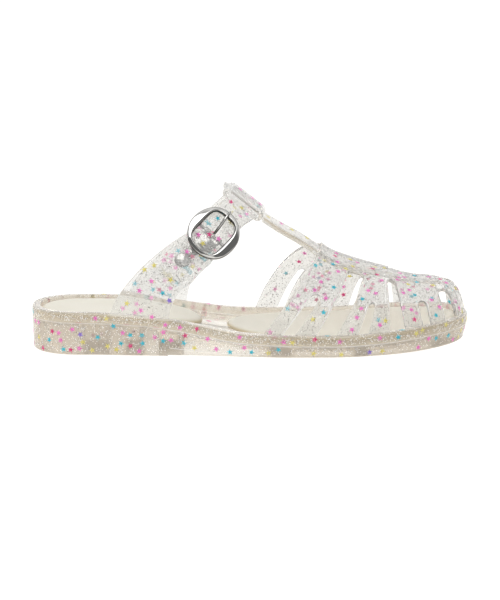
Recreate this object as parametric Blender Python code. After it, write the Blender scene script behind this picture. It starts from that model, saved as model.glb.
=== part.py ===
"""Fisherman mule for the right foot: clear moulded PVC, two insole pads and a chromed buckle.

Lengths below are millimetres, measured from the back of the heel (x), from the heel's centre line
towards the inner side of the foot (y) and up from the floor (z). The outer side of the foot is at -y.
"""

import math

import bmesh
import bpy
import numpy as np
from mathutils import Vector
from mathutils.geometry import delaunay_2d_cdt

# Driving sizes
SOLE_LENGTH = 260.0
HEEL_CAP = 31.0
TOE_CAP = 75.0
HEEL_ROUND = 2.2
TOE_ROUND = 2.28
SEAT_GAP = 0.3

BAND_WIDTH = 5.0
BAND_HEIGHT = 6.0
BAND_EDGE = 0.8
FOOTBED_DROP = 4.0
FOOTBED_WALL = 4.5
SIDE_WALL = 4.6
BREAST = 79.0
BREAST_STEP = 0.5
FOOT_EASE = 0.7

PAD_THICKNESS = 2.5
PAD_MARGIN = 0.5
PAD_EDGE = 0.7

UPPER_WALL = 2.4
STRAP_WALL = 2.2
INSTEP_WALL = 2.0
ROOT_DEPTH = 3.6

SPINE_WIDTH = 13.0
SPINE_WALL = 3.0

STRAP_WIDTH = 21.2
KEEPER_LENGTH = 14.0
KEEPER_WALL = 2.3
KEEPER_PLAY = 0.5

BUCKLE_OUTER = 15.1
BUCKLE_OPENING_ALONG = 12.0
BUCKLE_OPENING_ACROSS = 9.2
BUCKLE_FLOOR = 6.25
BUCKLE_TOP = 8.4
BAR_RADIUS = 0.9
BAR_LEVEL = 1.3
BAR_POST = 12.0
PRONG_RADIUS = 0.85
PRONG_HOLE_PLACE = 4.3
PRONG_HOLE_HALF = 4.3
CLIP_FLOOR = 2.5
CLIP_WALL = 0.8
STUD_PLACE = -23.0
STUD_RADIUS = 4.5
STUD_DOME = 0.9
CLIP_EYE_SHIFT = 4.4
CLIP_EYE_HALF = 1.8
EYE_WALL = 0.75


class Table:
    """Rows of sizes under named columns; the first column is the place, the others follow it smoothly."""

    def __init__(self, columns, rows):
        self.place = np.array([row[0] for row in rows], float)
        self.values = {}
        for index, name in enumerate(columns):
            self.values[name] = np.array([row[index] for row in rows], float)

    def at(self, column, place):
        """Value of a column at a place, by a curve that never swings past its rows."""
        xs = self.place
        ys = self.values[column]
        rise = np.diff(ys) / np.diff(xs)
        slope = np.zeros_like(ys)
        both = rise[:-1] * rise[1:]
        safe = np.where(both > 0, rise[:-1] + rise[1:], 1.0)
        slope[1:-1] = np.where(both > 0, 2.0 * both / safe, 0.0)
        slope[0] = rise[0]
        slope[-1] = rise[-1]
        place = np.clip(np.asarray(place, float), xs[0], xs[-1])
        left = np.clip(np.searchsorted(xs, place, side="right") - 1, 0, len(xs) - 2)
        span = xs[left + 1] - xs[left]
        t = (place - xs[left]) / span
        keep = 1 + t * t * (2 * t - 3)
        return (keep * ys[left] + (1 - keep) * ys[left + 1]
                + span * t * (1 - t) * ((1 - t) * slope[left] - t * slope[left + 1]))


# Sole: half width before its ends round off, middle line, rim height, underside, tuck of the wall's foot
SOLE = Table(("x", "half", "middle", "rim", "floor", "tuck"), (
    (0.0, 29.8, 0.0, 25.6, 0.0, 0.6),
    (30.0, 29.8, 0.0, 25.4, 0.0, 0.6),
    (60.0, 32.3, -1.0, 24.4, 0.0, 0.6),
    (82.0, 34.4, -1.8, 22.0, 0.0, 0.6),
    (98.0, 36.0, -2.0, 19.1, 0.0, 0.7),
    (125.0, 41.2, -0.9, 14.6, 0.0, 0.8),
    (153.0, 45.0, 0.0, 13.2, 0.0, 0.9),
    (180.0, 46.3, 0.3, 13.0, 0.0, 1.0),
    (204.0, 46.3, 0.8, 14.2, 0.6, 1.4),
    (223.0, 46.3, 1.9, 15.8, 1.3, 1.6),
    (243.0, 46.3, 3.6, 17.5, 2.4, 1.8),
    (260.0, 46.3, 5.0, 18.4, 3.4, 2.0),
))

# Waist rebate: the wall's foot steps in and up behind the heel breast and runs out at the ball
REBATE = Table(("x", "height", "inset"), (
    (0.0, 1.3, 0.0),
    (BREAST, 1.3, 0.0),
    (BREAST + BREAST_STEP, 4.6, 2.4),
    (93.0, 3.4, 2.3),
    (106.0, 2.4, 1.8),
    (139.0, 1.4, 0.3),
    (150.0, 1.3, 0.0),
    (260.0, 1.3, 0.0),
))

# Cells under the sole, in pairs beside a middle rib
CELLS = Table(("x", "end"), (
    (9.0, 31.0),
    (45.0, 55.5),
    (65.0, 74.5),
    (88.0, 140.0),
    (152.0, 190.0),
    (197.0, 236.0),
))
CELL_RIB = 2.6
CELL_CORNER = 3.2
CELL_OVERRUN = 2.0
CELL_WALL_STEP = 11.0

# Top line of the vamp: where the ribs from both sides meet, seen along the foot
RIDGE = Table(("x", "side", "height"), (
    (138.0, 5.0, 78.9),
    (147.0, 5.4, 73.4),
    (160.0, 6.2, 66.5),
    (170.0, 7.2, 60.4),
    (179.0, 7.7, 54.0),
    (194.6, 8.0, 48.0),
    (212.5, 7.8, 43.1),
    (222.7, 7.4, 39.9),
    (232.3, 7.0, 38.3),
    (241.8, 6.6, 37.7),
    (248.0, 6.4, 37.0),
))

# Vamp ribs from the base band to the top line: lean 1 follows height, lean 0 follows the bulge
RIBS = Table(("base", "inner_shift", "top", "lean", "inner_lean", "outer_fall", "inner_fall"), (
    (132.6, 1.4, 171.7, 1.00, 0.45, 1.20, 0.95),
    (148.0, 4.0, 181.5, 1.00, 0.45, 1.20, 0.95),
    (165.5, 2.4, 190.8, 1.00, 0.50, 1.20, 0.95),
    (177.2, 2.3, 200.6, 1.00, 0.55, 1.18, 0.95),
    (193.5, 2.0, 206.0, 1.00, 0.60, 1.15, 0.95),
    (209.7, 1.0, 210.5, 0.90, 0.60, 1.10, 0.95),
    (219.8, 0.3, 214.0, 0.75, 0.60, 1.08, 0.95),
    (232.5, 0.1, 225.0, 0.55, 0.50, 1.04, 0.95),
    (244.2, 0.0, 237.0, 0.30, 0.30, 1.00, 0.96),
    (251.6, 0.0, 241.6, 0.10, 0.10, 0.98, 0.97),
    (257.5, 0.0, 246.0, 0.00, 0.00, 0.97, 0.97),
))

# Openings of the vamp: from and to along the base band, how high they reach
OUTER_OPENINGS = Table(("start", "end", "reach"), (
    (143.7, 151.0, 0.41),
    (163.8, 175.6, 0.74),
    (189.0, 195.8, 0.40),
    (209.7, 219.8, 0.72),
    (230.6, 235.6, 0.43),
    (244.2, 251.4, 0.62),
))
INNER_OPENINGS = Table(("start", "end", "reach"), (
    (143.7, 148.0, 0.48),
    (189.3, 193.5, 0.47),
    (214.5, 219.8, 0.72),
    (246.0, 251.4, 0.62),
))

# Strips of the T-bar along the top line: side shift, roll in degrees, width and height over the wall
SPINE = Table(("x", "shift", "roll", "width", "lift"), (
    (138.0, 0.0, 8.0, 13.6, -1.6),
    (160.0, -3.0, 14.0, SPINE_WIDTH, -1.8),
    (178.0, -5.5, 15.0, SPINE_WIDTH, -1.8),
    (208.0, -5.0, 13.0, SPINE_WIDTH, -0.2),
    (216.0, -4.5, 12.0, SPINE_WIDTH, 0.3),
    (234.0, -3.0, 8.0, SPINE_WIDTH, 0.3),
    (244.0, -1.5, 4.0, SPINE_WIDTH, -0.6),
))
SADDLE = Table(("x", "shift", "roll", "width", "lift"), (
    (172.5, -5.2, 15.0, 15.0, 0.2),
    (190.0, -5.4, 14.5, 17.0, 0.4),
    (213.0, -4.6, 12.5, 15.0, 0.4),
))

# Instep strap arch from the outer base over the foot to the inner base: rear and front edge
ARCH = Table(("girth", "rear_x", "rear_y", "rear_z", "front_x", "front_y", "front_z"), (
    (0.0, 44.4, -29.0, 21.3, 80.0, -33.4, 18.6),
    (1.0, 47.9, -31.2, 31.6, 80.9, -35.0, 27.7),
    (2.0, 59.9, -30.5, 47.7, 87.0, -34.5, 39.1),
    (3.0, 67.7, -29.0, 55.2, 92.2, -33.6, 42.2),
    (4.0, 80.5, -25.5, 65.0, 98.3, -30.8, 48.4),
    (5.0, 91.0, -21.8, 71.4, 106.6, -27.3, 55.0),
    (6.0, 100.7, -16.2, 78.6, 117.7, -22.6, 64.4),
    (7.0, 108.9, -7.8, 86.9, 126.6, -14.8, 72.9),
    (8.0, 119.0, 5.0, 91.6, 135.4, 5.0, 78.8),
    (9.0, 118.5, 14.6, 90.0, 134.5, 15.0, 77.2),
    (10.0, 110.0, 24.2, 80.0, 127.0, 25.2, 69.4),
    (11.0, 96.0, 30.8, 65.0, 114.0, 32.0, 55.0),
    (12.0, 80.0, 33.2, 46.0, 101.5, 34.4, 39.5),
    (13.0, 65.0, 31.6, 31.0, 94.5, 33.0, 27.5),
    (14.0, 58.5, 28.0, 20.4, 92.5, 30.6, 16.6),
))
BUCKLE_GIRTH = 5.68
KEEPER_GIRTH = 7.92
INNER_BASE_GIRTH = 14.0
GIRTH_STEPS = 281

# Instep strap along its run from the buckle: half width, side shift and height of its inner face
INSTEP_STRAP = Table(("along", "half", "shift", "level"), (
    (-42.0, 7.6, 2.6, 2.7),
    (-39.0, 8.8, 2.2, 2.8),
    (-31.0, 9.2, 1.5, 3.6),
    (-26.5, 9.3, 1.0, 4.7),
    (-20.0, 9.3, 0.6, 4.7),
    (-16.5, 9.3, 0.4, 3.9),
    (-12.0, 9.4, 0.2, 3.8),
    (-4.0, 9.7, 0.0, 3.65),
    (4.0, 9.8, 0.0, 3.55),
    (14.0, 9.6, 0.6, 2.6),
    (24.0, 10.3, 0.6, 0.2),
    (38.0, 10.6, 0.0, 0.0),
))

# Clip plate along its run from the bar: half width
CLIP = Table(("along", "half"), (
    (STUD_PLACE + 0.9 * STUD_RADIUS, 2.7),
    (-14.5, 2.7),
    (-11.0, 3.4),
    (-8.6, 6.2),
    (-4.6, 6.6),
    (-2.6, 6.5),
))

COLOURS = {
    "pvc": (0.80, 0.78, 0.74, 1.0),
    "foam": (0.84, 0.80, 0.68, 1.0),
    "chrome": (0.78, 0.78, 0.78, 1.0),
}


def clear_scene():
    """Remove what the scene holds."""
    for item in list(bpy.data.objects):
        bpy.data.objects.remove(item)


def make_material(name, colour, roughness, metallic):
    """Plain Principled material."""
    material = bpy.data.materials.new(name)
    material.use_nodes = True
    shader = material.node_tree.nodes["Principled BSDF"]
    shader.inputs["Base Color"].default_value = colour
    shader.inputs["Roughness"].default_value = roughness
    shader.inputs["Metallic"].default_value = metallic
    return material


def half_width(x, inset, heel_inset, toe_inset):
    """Half width of the sole's outline moved in by an inset, round at heel and toe."""
    heel = np.clip((HEEL_CAP - x) / (HEEL_CAP - heel_inset), 0.0, 1.0)
    toe = np.clip((x - SOLE_LENGTH + TOE_CAP) / (TOE_CAP - toe_inset), 0.0, 1.0)
    ends = ((1.0 - heel ** HEEL_ROUND) ** (1.0 / HEEL_ROUND)
            * (1.0 - toe ** TOE_ROUND) ** (1.0 / TOE_ROUND))
    return (SOLE.at("half", x) - inset) * ends


def outline_x(turn, heel_inset, toe_inset):
    """Place along the foot for a turn from 0 at the heel to 1 at the toe, close together at the ends."""
    run = SOLE_LENGTH - heel_inset - toe_inset
    return heel_inset + run * (1.0 - np.cos(np.pi * turn)) / 2.0


def turn_at(x, inset):
    """Turn whose place on the inset outline is x."""
    run = SOLE_LENGTH - 2.0 * inset
    return math.acos(1.0 - 2.0 * (x - inset) / run) / math.pi


def outline(turns, inset):
    """Closed outline, outer side from heel to toe and inner side back; inset may vary along it."""
    inset = np.broadcast_to(np.asarray(inset, float), turns.shape)
    x = outline_x(turns, inset[0], inset[-1])
    half = half_width(x, inset, inset[0], inset[-1])
    middle = SOLE.at("middle", x)
    outer = np.stack([x, middle - half], axis=1)
    inner = np.stack([x, middle + half], axis=1)
    return np.concatenate([outer, inner[-2:0:-1]])


ORIGIN_Y = float(np.mean([np.min(outline(np.linspace(0, 1, 401), 0.0)[:, 1]),
                          np.max(outline(np.linspace(0, 1, 401), 0.0)[:, 1])]))
ORIGIN = np.array([SOLE_LENGTH / 2.0, ORIGIN_Y, 0.0])


def make_object(name, points, faces, material, smooth_angle=40.0):
    """Closed mesh object from points in millimetres, faces turned outwards."""
    mesh = bpy.data.meshes.new(name)
    metres = (np.asarray(points, float) - ORIGIN) * 0.001
    mesh.from_pydata([tuple(point) for point in metres], [], faces)
    shape = bmesh.new()
    shape.from_mesh(mesh)
    bmesh.ops.recalc_face_normals(shape, faces=shape.faces)
    shape.to_mesh(mesh)
    shape.free()
    mesh.shade_smooth()
    mesh.set_sharp_from_angle(angle=math.radians(smooth_angle))
    mesh.materials.append(material)
    item = bpy.data.objects.new(name, mesh)
    bpy.context.scene.collection.objects.link(item)
    return item


def combine(item, others, operation):
    """Join or cut an object with helper solids that are not drawn."""
    for other in others:
        other.hide_render = True
        other.display_type = "WIRE"
        step = item.modifiers.new(other.name, "BOOLEAN")
        step.operation = operation
        step.solver = "EXACT"
        step.object = other


def ring_faces(count, size, closed):
    """Quads between loops of equal size, one after another, closed back to the first or open."""
    faces = []
    for loop in range(count if closed else count - 1):
        here = loop * size
        there = ((loop + 1) % count) * size
        for corner in range(size):
            after = (corner + 1) % size
            faces.append((here + corner, here + after, there + after, there + corner))
    return faces


def swept(name, loops, material, closed=False, smooth_angle=40.0):
    """Solid through a row of section loops, with flat caps where the row is open."""
    loops = np.asarray(loops, float)
    count, size = loops.shape[:2]
    faces = ring_faces(count, size, closed)
    if not closed:
        faces.append(tuple(range(size)))
        faces.append(tuple(range((count - 1) * size, count * size)))
    return make_object(name, loops.reshape(-1, 3), faces, material, smooth_angle)


def across_faces(first, half_count):
    """Quads straight across an outline, from the outer side to the inner side."""
    total = 2 * half_count - 2
    faces = [(first, first + 1, first + total - 1)]
    for index in range(1, half_count - 2):
        faces.append((first + index, first + index + 1, first + total - index - 1, first + total - index))
    last = half_count - 2
    faces.append((first + last, first + last + 1, first + last + 2))
    return faces


def stacked(name, layers, material, smooth_angle=40.0):
    """Solid from outlines stacked upwards, closed straight across at the lowest and the highest."""
    size = len(layers[0])
    half_count = size // 2 + 1
    faces = ring_faces(len(layers), size, False)
    faces += across_faces(0, half_count)
    faces += across_faces((len(layers) - 1) * size, half_count)
    return make_object(name, np.concatenate(layers), faces, material, smooth_angle)


def layer(turns, inset, height, rise=0.0):
    """Outline at an inset, each point at the height that a function gives for its place, plus a rise."""
    flat = outline(turns, inset)
    return np.column_stack([flat, height(flat[:, 0]) + rise])


def around(values):
    """Values along the foot repeated for both sides of a closed outline."""
    return np.concatenate([values, values[-2:0:-1]])


def rim_height(x):
    """Top of the rim."""
    return SOLE.at("rim", x)


def floor_height(x):
    """Underside of the sole."""
    return SOLE.at("floor", x)


def ledge_height(x):
    """Ledge that carries the base band."""
    return rim_height(x) - BAND_HEIGHT - SEAT_GAP


def footbed_height(x):
    """Top of the sole inside the base band."""
    return rim_height(x) - FOOTBED_DROP


def sole_turns(count):
    """Turns along the sole, with one pair that makes the upright face of the heel breast."""
    turns = np.linspace(0.0, 1.0, count)
    breast = turn_at(BREAST, 0.0)
    after = turn_at(BREAST + BREAST_STEP, 0.0)
    keep = np.abs(turns - (breast + after) / 2.0) > 0.4 / count
    return np.sort(np.append(turns[keep], [breast, after]))


def cell_outline(start, end, side, steps=5):
    """Outline of one cell under the sole: it follows the side wall and has round corners."""
    inset = SIDE_WALL
    reach = np.linspace(start, end, 2 + int((end - start) / CELL_WALL_STEP))
    wall = half_width(reach, inset, inset, inset) + SOLE.at("middle", reach) * side
    corners = [(x, y) for x, y in zip(reach, wall)]
    corners += [(end, CELL_RIB), (start, CELL_RIB)]
    points = []
    for index, corner in enumerate(corners):
        before = np.subtract(corners[index - 1], corner)
        after = np.subtract(corners[(index + 1) % len(corners)], corner)
        before = before / np.linalg.norm(before)
        after = after / np.linalg.norm(after)
        if np.dot(before, after) < -0.9:
            points.append(corner)
            continue
        for step in np.linspace(0.0, 1.0, steps):
            pull = before * (1 - step) ** 2 + after * step ** 2
            points.append(tuple(np.add(corner, CELL_CORNER * pull)))
    return [(x, y * side) for x, y in points]


def build_cells(material):
    """One cutter that holds every cell under the sole."""
    points = []
    faces = []
    for start, end in zip(CELLS.place, CELLS.values["end"]):
        for side in (-1, 1):
            flat = np.array(cell_outline(start, end, side))
            size = len(flat)
            first = sum(len(block) for block in points)
            roof = np.interp(flat[:, 0], [start, end], footbed_height([start, end])) - FOOTBED_WALL
            points.append(np.column_stack([flat, np.full(size, -CELL_OVERRUN)]))
            points.append(np.column_stack([flat, roof]))
            cell = ring_faces(2, size, False)
            cell.append(tuple(range(size)))
            cell.append(tuple(range(size, 2 * size)))
            faces += [tuple(index + first for index in face) for face in cell]
    return make_object("cells", np.concatenate(points), faces, material)


def build_sole(material):
    """Sole: side wall with tuck and waist rebate, ledge for the base band, footbed and cells."""
    turns = sole_turns(46)
    x = outline_x(turns, 0.0, 0.0)
    tuck = SOLE.at("tuck", x)
    foot = tuck + REBATE.at("inset", x)
    step = around(REBATE.at("height", x))
    layers = [
        layer(turns, foot + FOOT_EASE, floor_height),
        layer(turns, foot + 0.2 * FOOT_EASE, floor_height, FOOT_EASE),
        layer(turns, foot + 0.1 * FOOT_EASE, floor_height, step - 0.3 * FOOT_EASE),
        layer(turns, tuck, floor_height, step),
        layer(turns, 0.45 * tuck, lambda x: 0.45 * floor_height(x) + 0.55 * ledge_height(x)),
        layer(turns, 0.2, ledge_height),
        layer(turns, BAND_WIDTH + SEAT_GAP, ledge_height),
        layer(turns, BAND_WIDTH + SEAT_GAP, footbed_height),
    ]
    sole = stacked("sole", layers, material)
    combine(sole, [build_cells(material)], "DIFFERENCE")
    return sole


def build_pad(name, start, end, rear_length, front_length, material):
    """Insole pad between two places, round at both ends, its top edge eased."""
    turns = np.linspace(0.0, 1.0, 25)
    edge = BAND_WIDTH + SEAT_GAP + PAD_MARGIN

    def pad_outline(shrink):
        x = start + shrink + (end - start - 2 * shrink) * (1.0 - np.cos(np.pi * turns)) / 2.0
        rear = np.clip((start + rear_length - x) / (rear_length - shrink), 0.0, 1.0)
        front = np.clip((x - end + front_length) / (front_length - shrink), 0.0, 1.0)
        ends = np.sqrt((1.0 - rear ** 2.2) * (1.0 - front ** 2.2))
        room = half_width(x, edge + shrink, edge, edge)
        half = np.minimum(room, (SOLE.at("half", x) - edge - shrink) * ends)
        middle = SOLE.at("middle", x)
        outer = np.stack([x, middle - half], axis=1)
        inner = np.stack([x, middle + half], axis=1)
        return np.concatenate([outer, inner[-2:0:-1]])

    layers = []
    for shrink, rise in ((0.0, 0.0), (0.0, PAD_THICKNESS - PAD_EDGE), (PAD_EDGE, PAD_THICKNESS)):
        flat = pad_outline(shrink)
        height = footbed_height(flat[:, 0]) + SEAT_GAP + rise
        layers.append(np.column_stack([flat, height]))
    return stacked(name, layers, material)


def vamp_point(turn, cross):
    """Point of the vamp's middle wall; cross runs from -1 at the outer base over 0 to 1 at the inner."""
    inset = BAND_WIDTH / 2.0
    inner = cross > 0
    base = outline_x(turn, inset, inset)
    place = np.clip(base, RIBS.place[0], RIBS.place[-1])
    base = base + np.where(inner, RIBS.at("inner_shift", place), 0.0)
    side = np.where(inner, 1.0, -1.0)
    base_y = SOLE.at("middle", base) + side * half_width(base, inset, inset, inset)
    base_z = SOLE.at("rim", base) - ROOT_DEPTH
    top = RIBS.at("top", place)
    top_y = RIDGE.at("side", top)
    top_z = RIDGE.at("height", top) - UPPER_WALL / 2.0
    angle = (1.0 - np.abs(cross)) * np.pi / 2.0
    rise = np.sin(angle)
    fall = np.where(inner, RIBS.at("inner_fall", place), RIBS.at("outer_fall", place))
    bulge = 1.0 - np.clip(np.cos(angle), 0.0, 1.0) ** fall
    lean = np.where(inner, RIBS.at("inner_lean", place), RIBS.at("lean", place))
    x = base + (top - base) * (lean * rise + (1.0 - lean) * bulge)
    y = base_y + (top_y - base_y) * bulge
    z = base_z + (top_z - base_z) * rise
    return np.stack([x, y, z], axis=-1)


FLAT_LENGTH = 310.0
FLAT_GIRTH = 62.0


def opening_edge(start, end, reach, steps=6):
    """Edge of one vamp opening from its base up, round its end and down, in flat measure."""
    inset = BAND_WIDTH / 2.0
    left = turn_at(start, inset) * FLAT_LENGTH
    right = turn_at(end, inset) * FLAT_LENGTH
    radius = (right - left) / 2.0
    base = -FLAT_GIRTH
    top = base + reach * FLAT_GIRTH
    rows = np.linspace(base, top - radius, max(2, int((top - radius - base) / 6.0) + 1))
    points = [(left, row) for row in rows]
    for angle in np.linspace(math.pi, 0.0, steps + 1)[1:-1]:
        points.append((left + radius + radius * math.cos(angle), top - radius + radius * math.sin(angle)))
    points += [(right, row) for row in rows[::-1]]
    return points


def spread(first, last, spacing):
    """Points from one to another, evenly spaced, without the last."""
    first = np.array(first, float)
    last = np.array(last, float)
    count = max(1, round(float(np.linalg.norm(last - first)) / spacing))
    return [tuple(first + (last - first) * step / count) for step in range(count)]


def base_edge(openings, corner, toe, spacing):
    """Base line of the vamp in flat measure from its rear corner to the toe, with its openings."""
    line = [corner]
    for start, end, reach in zip(openings.place, openings.values["end"], openings.values["reach"]):
        for point in opening_edge(start, end, reach):
            line += spread(line[-1], point, spacing)[1:]
            line.append(point)
    line += spread(line[-1], toe, spacing)[1:]
    line.append(toe)
    return line


def vamp_domain(spacing):
    """Flat boundary of the vamp: rear throat line, both base lines with their openings, toe seam."""
    rear = turn_at(RIBS.place[0], BAND_WIDTH / 2.0) * FLAT_LENGTH
    corner = (rear, -FLAT_GIRTH)
    toe = (FLAT_LENGTH, -FLAT_GIRTH)
    outer = base_edge(OUTER_OPENINGS, corner, toe, spacing)
    inner = [(p, -q) for p, q in base_edge(INNER_OPENINGS, corner, toe, spacing)]
    seam = spread(toe, (FLAT_LENGTH, FLAT_GIRTH), spacing)[1:]
    throat = spread((rear, FLAT_GIRTH), (rear, -FLAT_GIRTH), spacing)[1:]
    return outer + seam + inner[::-1] + throat


def inside_points(boundary, spacing, margin):
    """Grid points inside a flat boundary that keep a margin from it."""
    edge = np.array(boundary)
    after = np.roll(edge, -1, axis=0)
    low = edge.min(axis=0)
    high = edge.max(axis=0)
    kept = []
    for p in np.arange(low[0] + spacing / 2.0, high[0], spacing):
        for q in np.arange(low[1] + spacing / 2.0, high[1], spacing):
            crosses = (edge[:, 1] > q) != (after[:, 1] > q)
            step = np.where(crosses, after[:, 1] - edge[:, 1], 1.0)
            reach = edge[:, 0] + (q - edge[:, 1]) / step * (after[:, 0] - edge[:, 0])
            inside = np.sum(crosses & (p < reach)) % 2 == 1
            run = after - edge
            along = np.clip(((p - edge[:, 0]) * run[:, 0] + (q - edge[:, 1]) * run[:, 1])
                            / np.maximum(np.sum(run * run, axis=1), 1e-9), 0.0, 1.0)
            near = np.hypot(edge[:, 0] + along * run[:, 0] - p, edge[:, 1] + along * run[:, 1] - q).min()
            if inside and near > margin:
                kept.append((p, q))
    return kept


def thickened(name, points, faces, wall, material):
    """Closed shell on both sides of a middle surface; points that fall together are merged first."""
    shape = bmesh.new()
    corners = [shape.verts.new(point) for point in points]
    for face in faces:
        shape.faces.new([corners[index] for index in face])
    bmesh.ops.remove_doubles(shape, verts=shape.verts, dist=0.01)
    bmesh.ops.recalc_face_normals(shape, faces=shape.faces)
    shape.normal_update()
    shape.verts.index_update()
    middle = np.array([vert.co for vert in shape.verts])
    normal = np.array([vert.normal for vert in shape.verts])
    count = len(middle)
    solid_faces = []
    for face in shape.faces:
        loop = [vert.index for vert in face.verts]
        solid_faces.append(tuple(loop))
        solid_faces.append(tuple(index + count for index in reversed(loop)))
    for edge in shape.edges:
        if len(edge.link_faces) == 1:
            first, second = (vert.index for vert in edge.verts)
            solid_faces.append((first, second, second + count, first + count))
    shape.free()
    both = np.concatenate([middle + normal * wall / 2.0, middle - normal * wall / 2.0])
    return make_object(name, both, solid_faces, material)


def build_vamp(material, spacing=7.0):
    """Vamp: finger groups of both sides and the toe band in one curved wall."""
    boundary = vamp_domain(spacing)
    flat = boundary + inside_points(boundary, spacing, spacing * 0.45)
    loop = list(range(len(boundary)))
    verts, _, faces, _, _, _ = delaunay_2d_cdt([Vector(point) for point in flat], [], [loop], 1, 1e-4)
    place = np.array([tuple(vert) for vert in verts])
    points = vamp_point(place[:, 0] / FLAT_LENGTH, place[:, 1] / FLAT_GIRTH)
    return thickened("vamp", points, faces, UPPER_WALL, material)


def build_band(material):
    """Base band: the upper's closed foot that sits on the sole's ledge."""
    turns = np.linspace(0.0, 1.0, 41)
    profile = (
        (0.0, -BAND_HEIGHT),
        (0.0, -BAND_EDGE),
        (BAND_EDGE, 0.0),
        (BAND_WIDTH - BAND_EDGE, 0.0),
        (BAND_WIDTH, -BAND_EDGE),
        (BAND_WIDTH, -BAND_HEIGHT),
    )
    rails = [layer(turns, inset, rim_height, drop) for inset, drop in profile]
    return swept("band", np.stack(rails, axis=1), material, closed=True)


def strip_loops(table, count):
    """Section loops of a T-bar strip along the top line."""
    loops = []
    for x in np.linspace(table.place[0], table.place[-1], count):
        centre = np.array([x, RIDGE.at("side", x), RIDGE.at("height", x)])
        slope = math.atan2(RIDGE.at("height", x + 1.0) - RIDGE.at("height", x - 1.0), 2.0)
        roll = math.radians(table.at("roll", x))
        across = np.array([0.0, math.cos(roll), math.sin(roll)])
        up = np.array([-math.sin(slope), -math.cos(slope) * math.sin(roll), math.cos(slope) * math.cos(roll)])
        middle = centre + across * table.at("shift", x)
        half = table.at("width", x) / 2.0
        high = table.at("lift", x) + SPINE_WALL / 2.0 - UPPER_WALL / 2.0
        low = high - SPINE_WALL
        ease = 0.7
        section = ((-half, low), (-half, high - ease), (ease - half, high),
                   (half - ease, high), (half, high - ease), (half, low))
        loops.append([middle + across * side + up * height for side, height in section])
    return loops


class StrapPath:
    """Arch of the instep strap: a point from a run along it, a shift across it and a height over it."""

    def __init__(self):
        self.girth = np.linspace(ARCH.place[0], ARCH.place[-1], GIRTH_STEPS)
        rear, front = self.edges(self.girth)
        middle = (rear + front) / 2.0
        step = np.linalg.norm(np.diff(middle, axis=0), axis=1)
        run = np.concatenate([[0.0], np.cumsum(step)])
        self.run = run - np.interp(BUCKLE_GIRTH, self.girth, run)

    def edges(self, girth):
        """Rear and front edge of the arch at a girth."""
        rear = np.stack([ARCH.at("rear_" + axis, girth) for axis in "xyz"], axis=-1)
        front = np.stack([ARCH.at("front_" + axis, girth) for axis in "xyz"], axis=-1)
        return rear, front

    def along(self, girth):
        """Run from the buckle at a girth."""
        return float(np.interp(girth, self.girth, self.run))

    def frame(self, along):
        """Middle point, direction along, direction across and outward direction at each run."""
        reach = 1.5
        girth = np.interp(along, self.run, self.girth)
        rear, front = self.edges(girth)
        before = sum(self.edges(np.interp(along - reach, self.run, self.girth))) / 2.0
        after = sum(self.edges(np.interp(along + reach, self.run, self.girth))) / 2.0
        ahead = after - before
        ahead = ahead / np.linalg.norm(ahead, axis=-1, keepdims=True)
        across = front - rear
        width = np.linalg.norm(across, axis=-1, keepdims=True)
        across = across / width
        out = np.cross(across, ahead)
        out = out / np.linalg.norm(out, axis=-1, keepdims=True)
        return (rear + front) / 2.0, across, out, width[..., 0]

    def point(self, along, shift, height):
        """Point at a run along, a shift across from the middle and a height over the arch."""
        middle, across, out, _ = self.frame(np.asarray(along, float))
        shift = np.asarray(shift, float)[..., None]
        height = np.asarray(height, float)[..., None]
        return middle + across * shift + out * height


PATH = StrapPath()


def strap_section(half, shift, low, wall, ease=0.6):
    """Section of a flat strap with eased edges, as shifts across and heights."""
    high = low + wall
    sides = np.array([-half, -half, ease - half, 0.0, half - ease, half, half, half - ease, 0.0, ease - half])
    heights = np.array([low + ease, high - ease, high, high, high, high - ease, low + ease, low, low, low])
    return sides + shift, heights


def build_outer_strap(material):
    """Short quarter strap of the outer side, from the base band up to the buckle's bar."""
    first = PATH.along(0.0)
    loops = []
    for along in np.linspace(first, -3.6, 15):
        _, _, _, width = PATH.frame(np.array(along))
        half = min(float(width) / 2.0, 9.2 + 0.3 * max(0.0, -3.6 - along))
        if along > -8.0:
            half -= 1.6 * ((along + 8.0) / 4.4) ** 2
        sides, heights = strap_section(half, 0.0, 0.0, STRAP_WALL)
        loops.append(PATH.point(np.full(len(sides), along), sides, heights))
    return swept("outer_strap", loops, material)


def build_instep_strap(material):
    """Long strap from the inner base through the keeper and the buckle to its free end."""
    last = PATH.along(INNER_BASE_GIRTH)
    stations = np.concatenate([
        np.linspace(INSTEP_STRAP.place[0], -31.0, 5),
        np.linspace(-29.0, 27.0, 18),
        np.linspace(31.0, last, 23),
    ])
    loops = []
    for along in stations:
        half = float(INSTEP_STRAP.at("half", along))
        _, _, _, width = PATH.frame(np.array(along))
        past_keeper = np.clip((along - PATH.along(KEEPER_GIRTH) - 10.0) / 60.0, 0.0, 1.0)
        half += past_keeper * (float(width) / 2.0 - half)
        sides, heights = strap_section(half, float(INSTEP_STRAP.at("shift", along)),
                                       float(INSTEP_STRAP.at("level", along)), INSTEP_WALL)
        loops.append(PATH.point(np.full(len(sides), along), sides, heights))
    return swept("instep_strap", loops, material)


def stadium(half_across, low, high, steps=5):
    """Loop of shifts and heights round a flat slot with round ends."""
    radius = (high - low) / 2.0
    centre = (high + low) / 2.0
    angles = np.linspace(-math.pi / 2.0, math.pi / 2.0, steps)
    right = half_across - radius
    sides = np.concatenate([right + radius * np.cos(angles), -right - radius * np.cos(angles)])
    heights = np.concatenate([centre + radius * np.sin(angles), centre - radius * np.sin(angles)])
    return sides, heights


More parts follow.
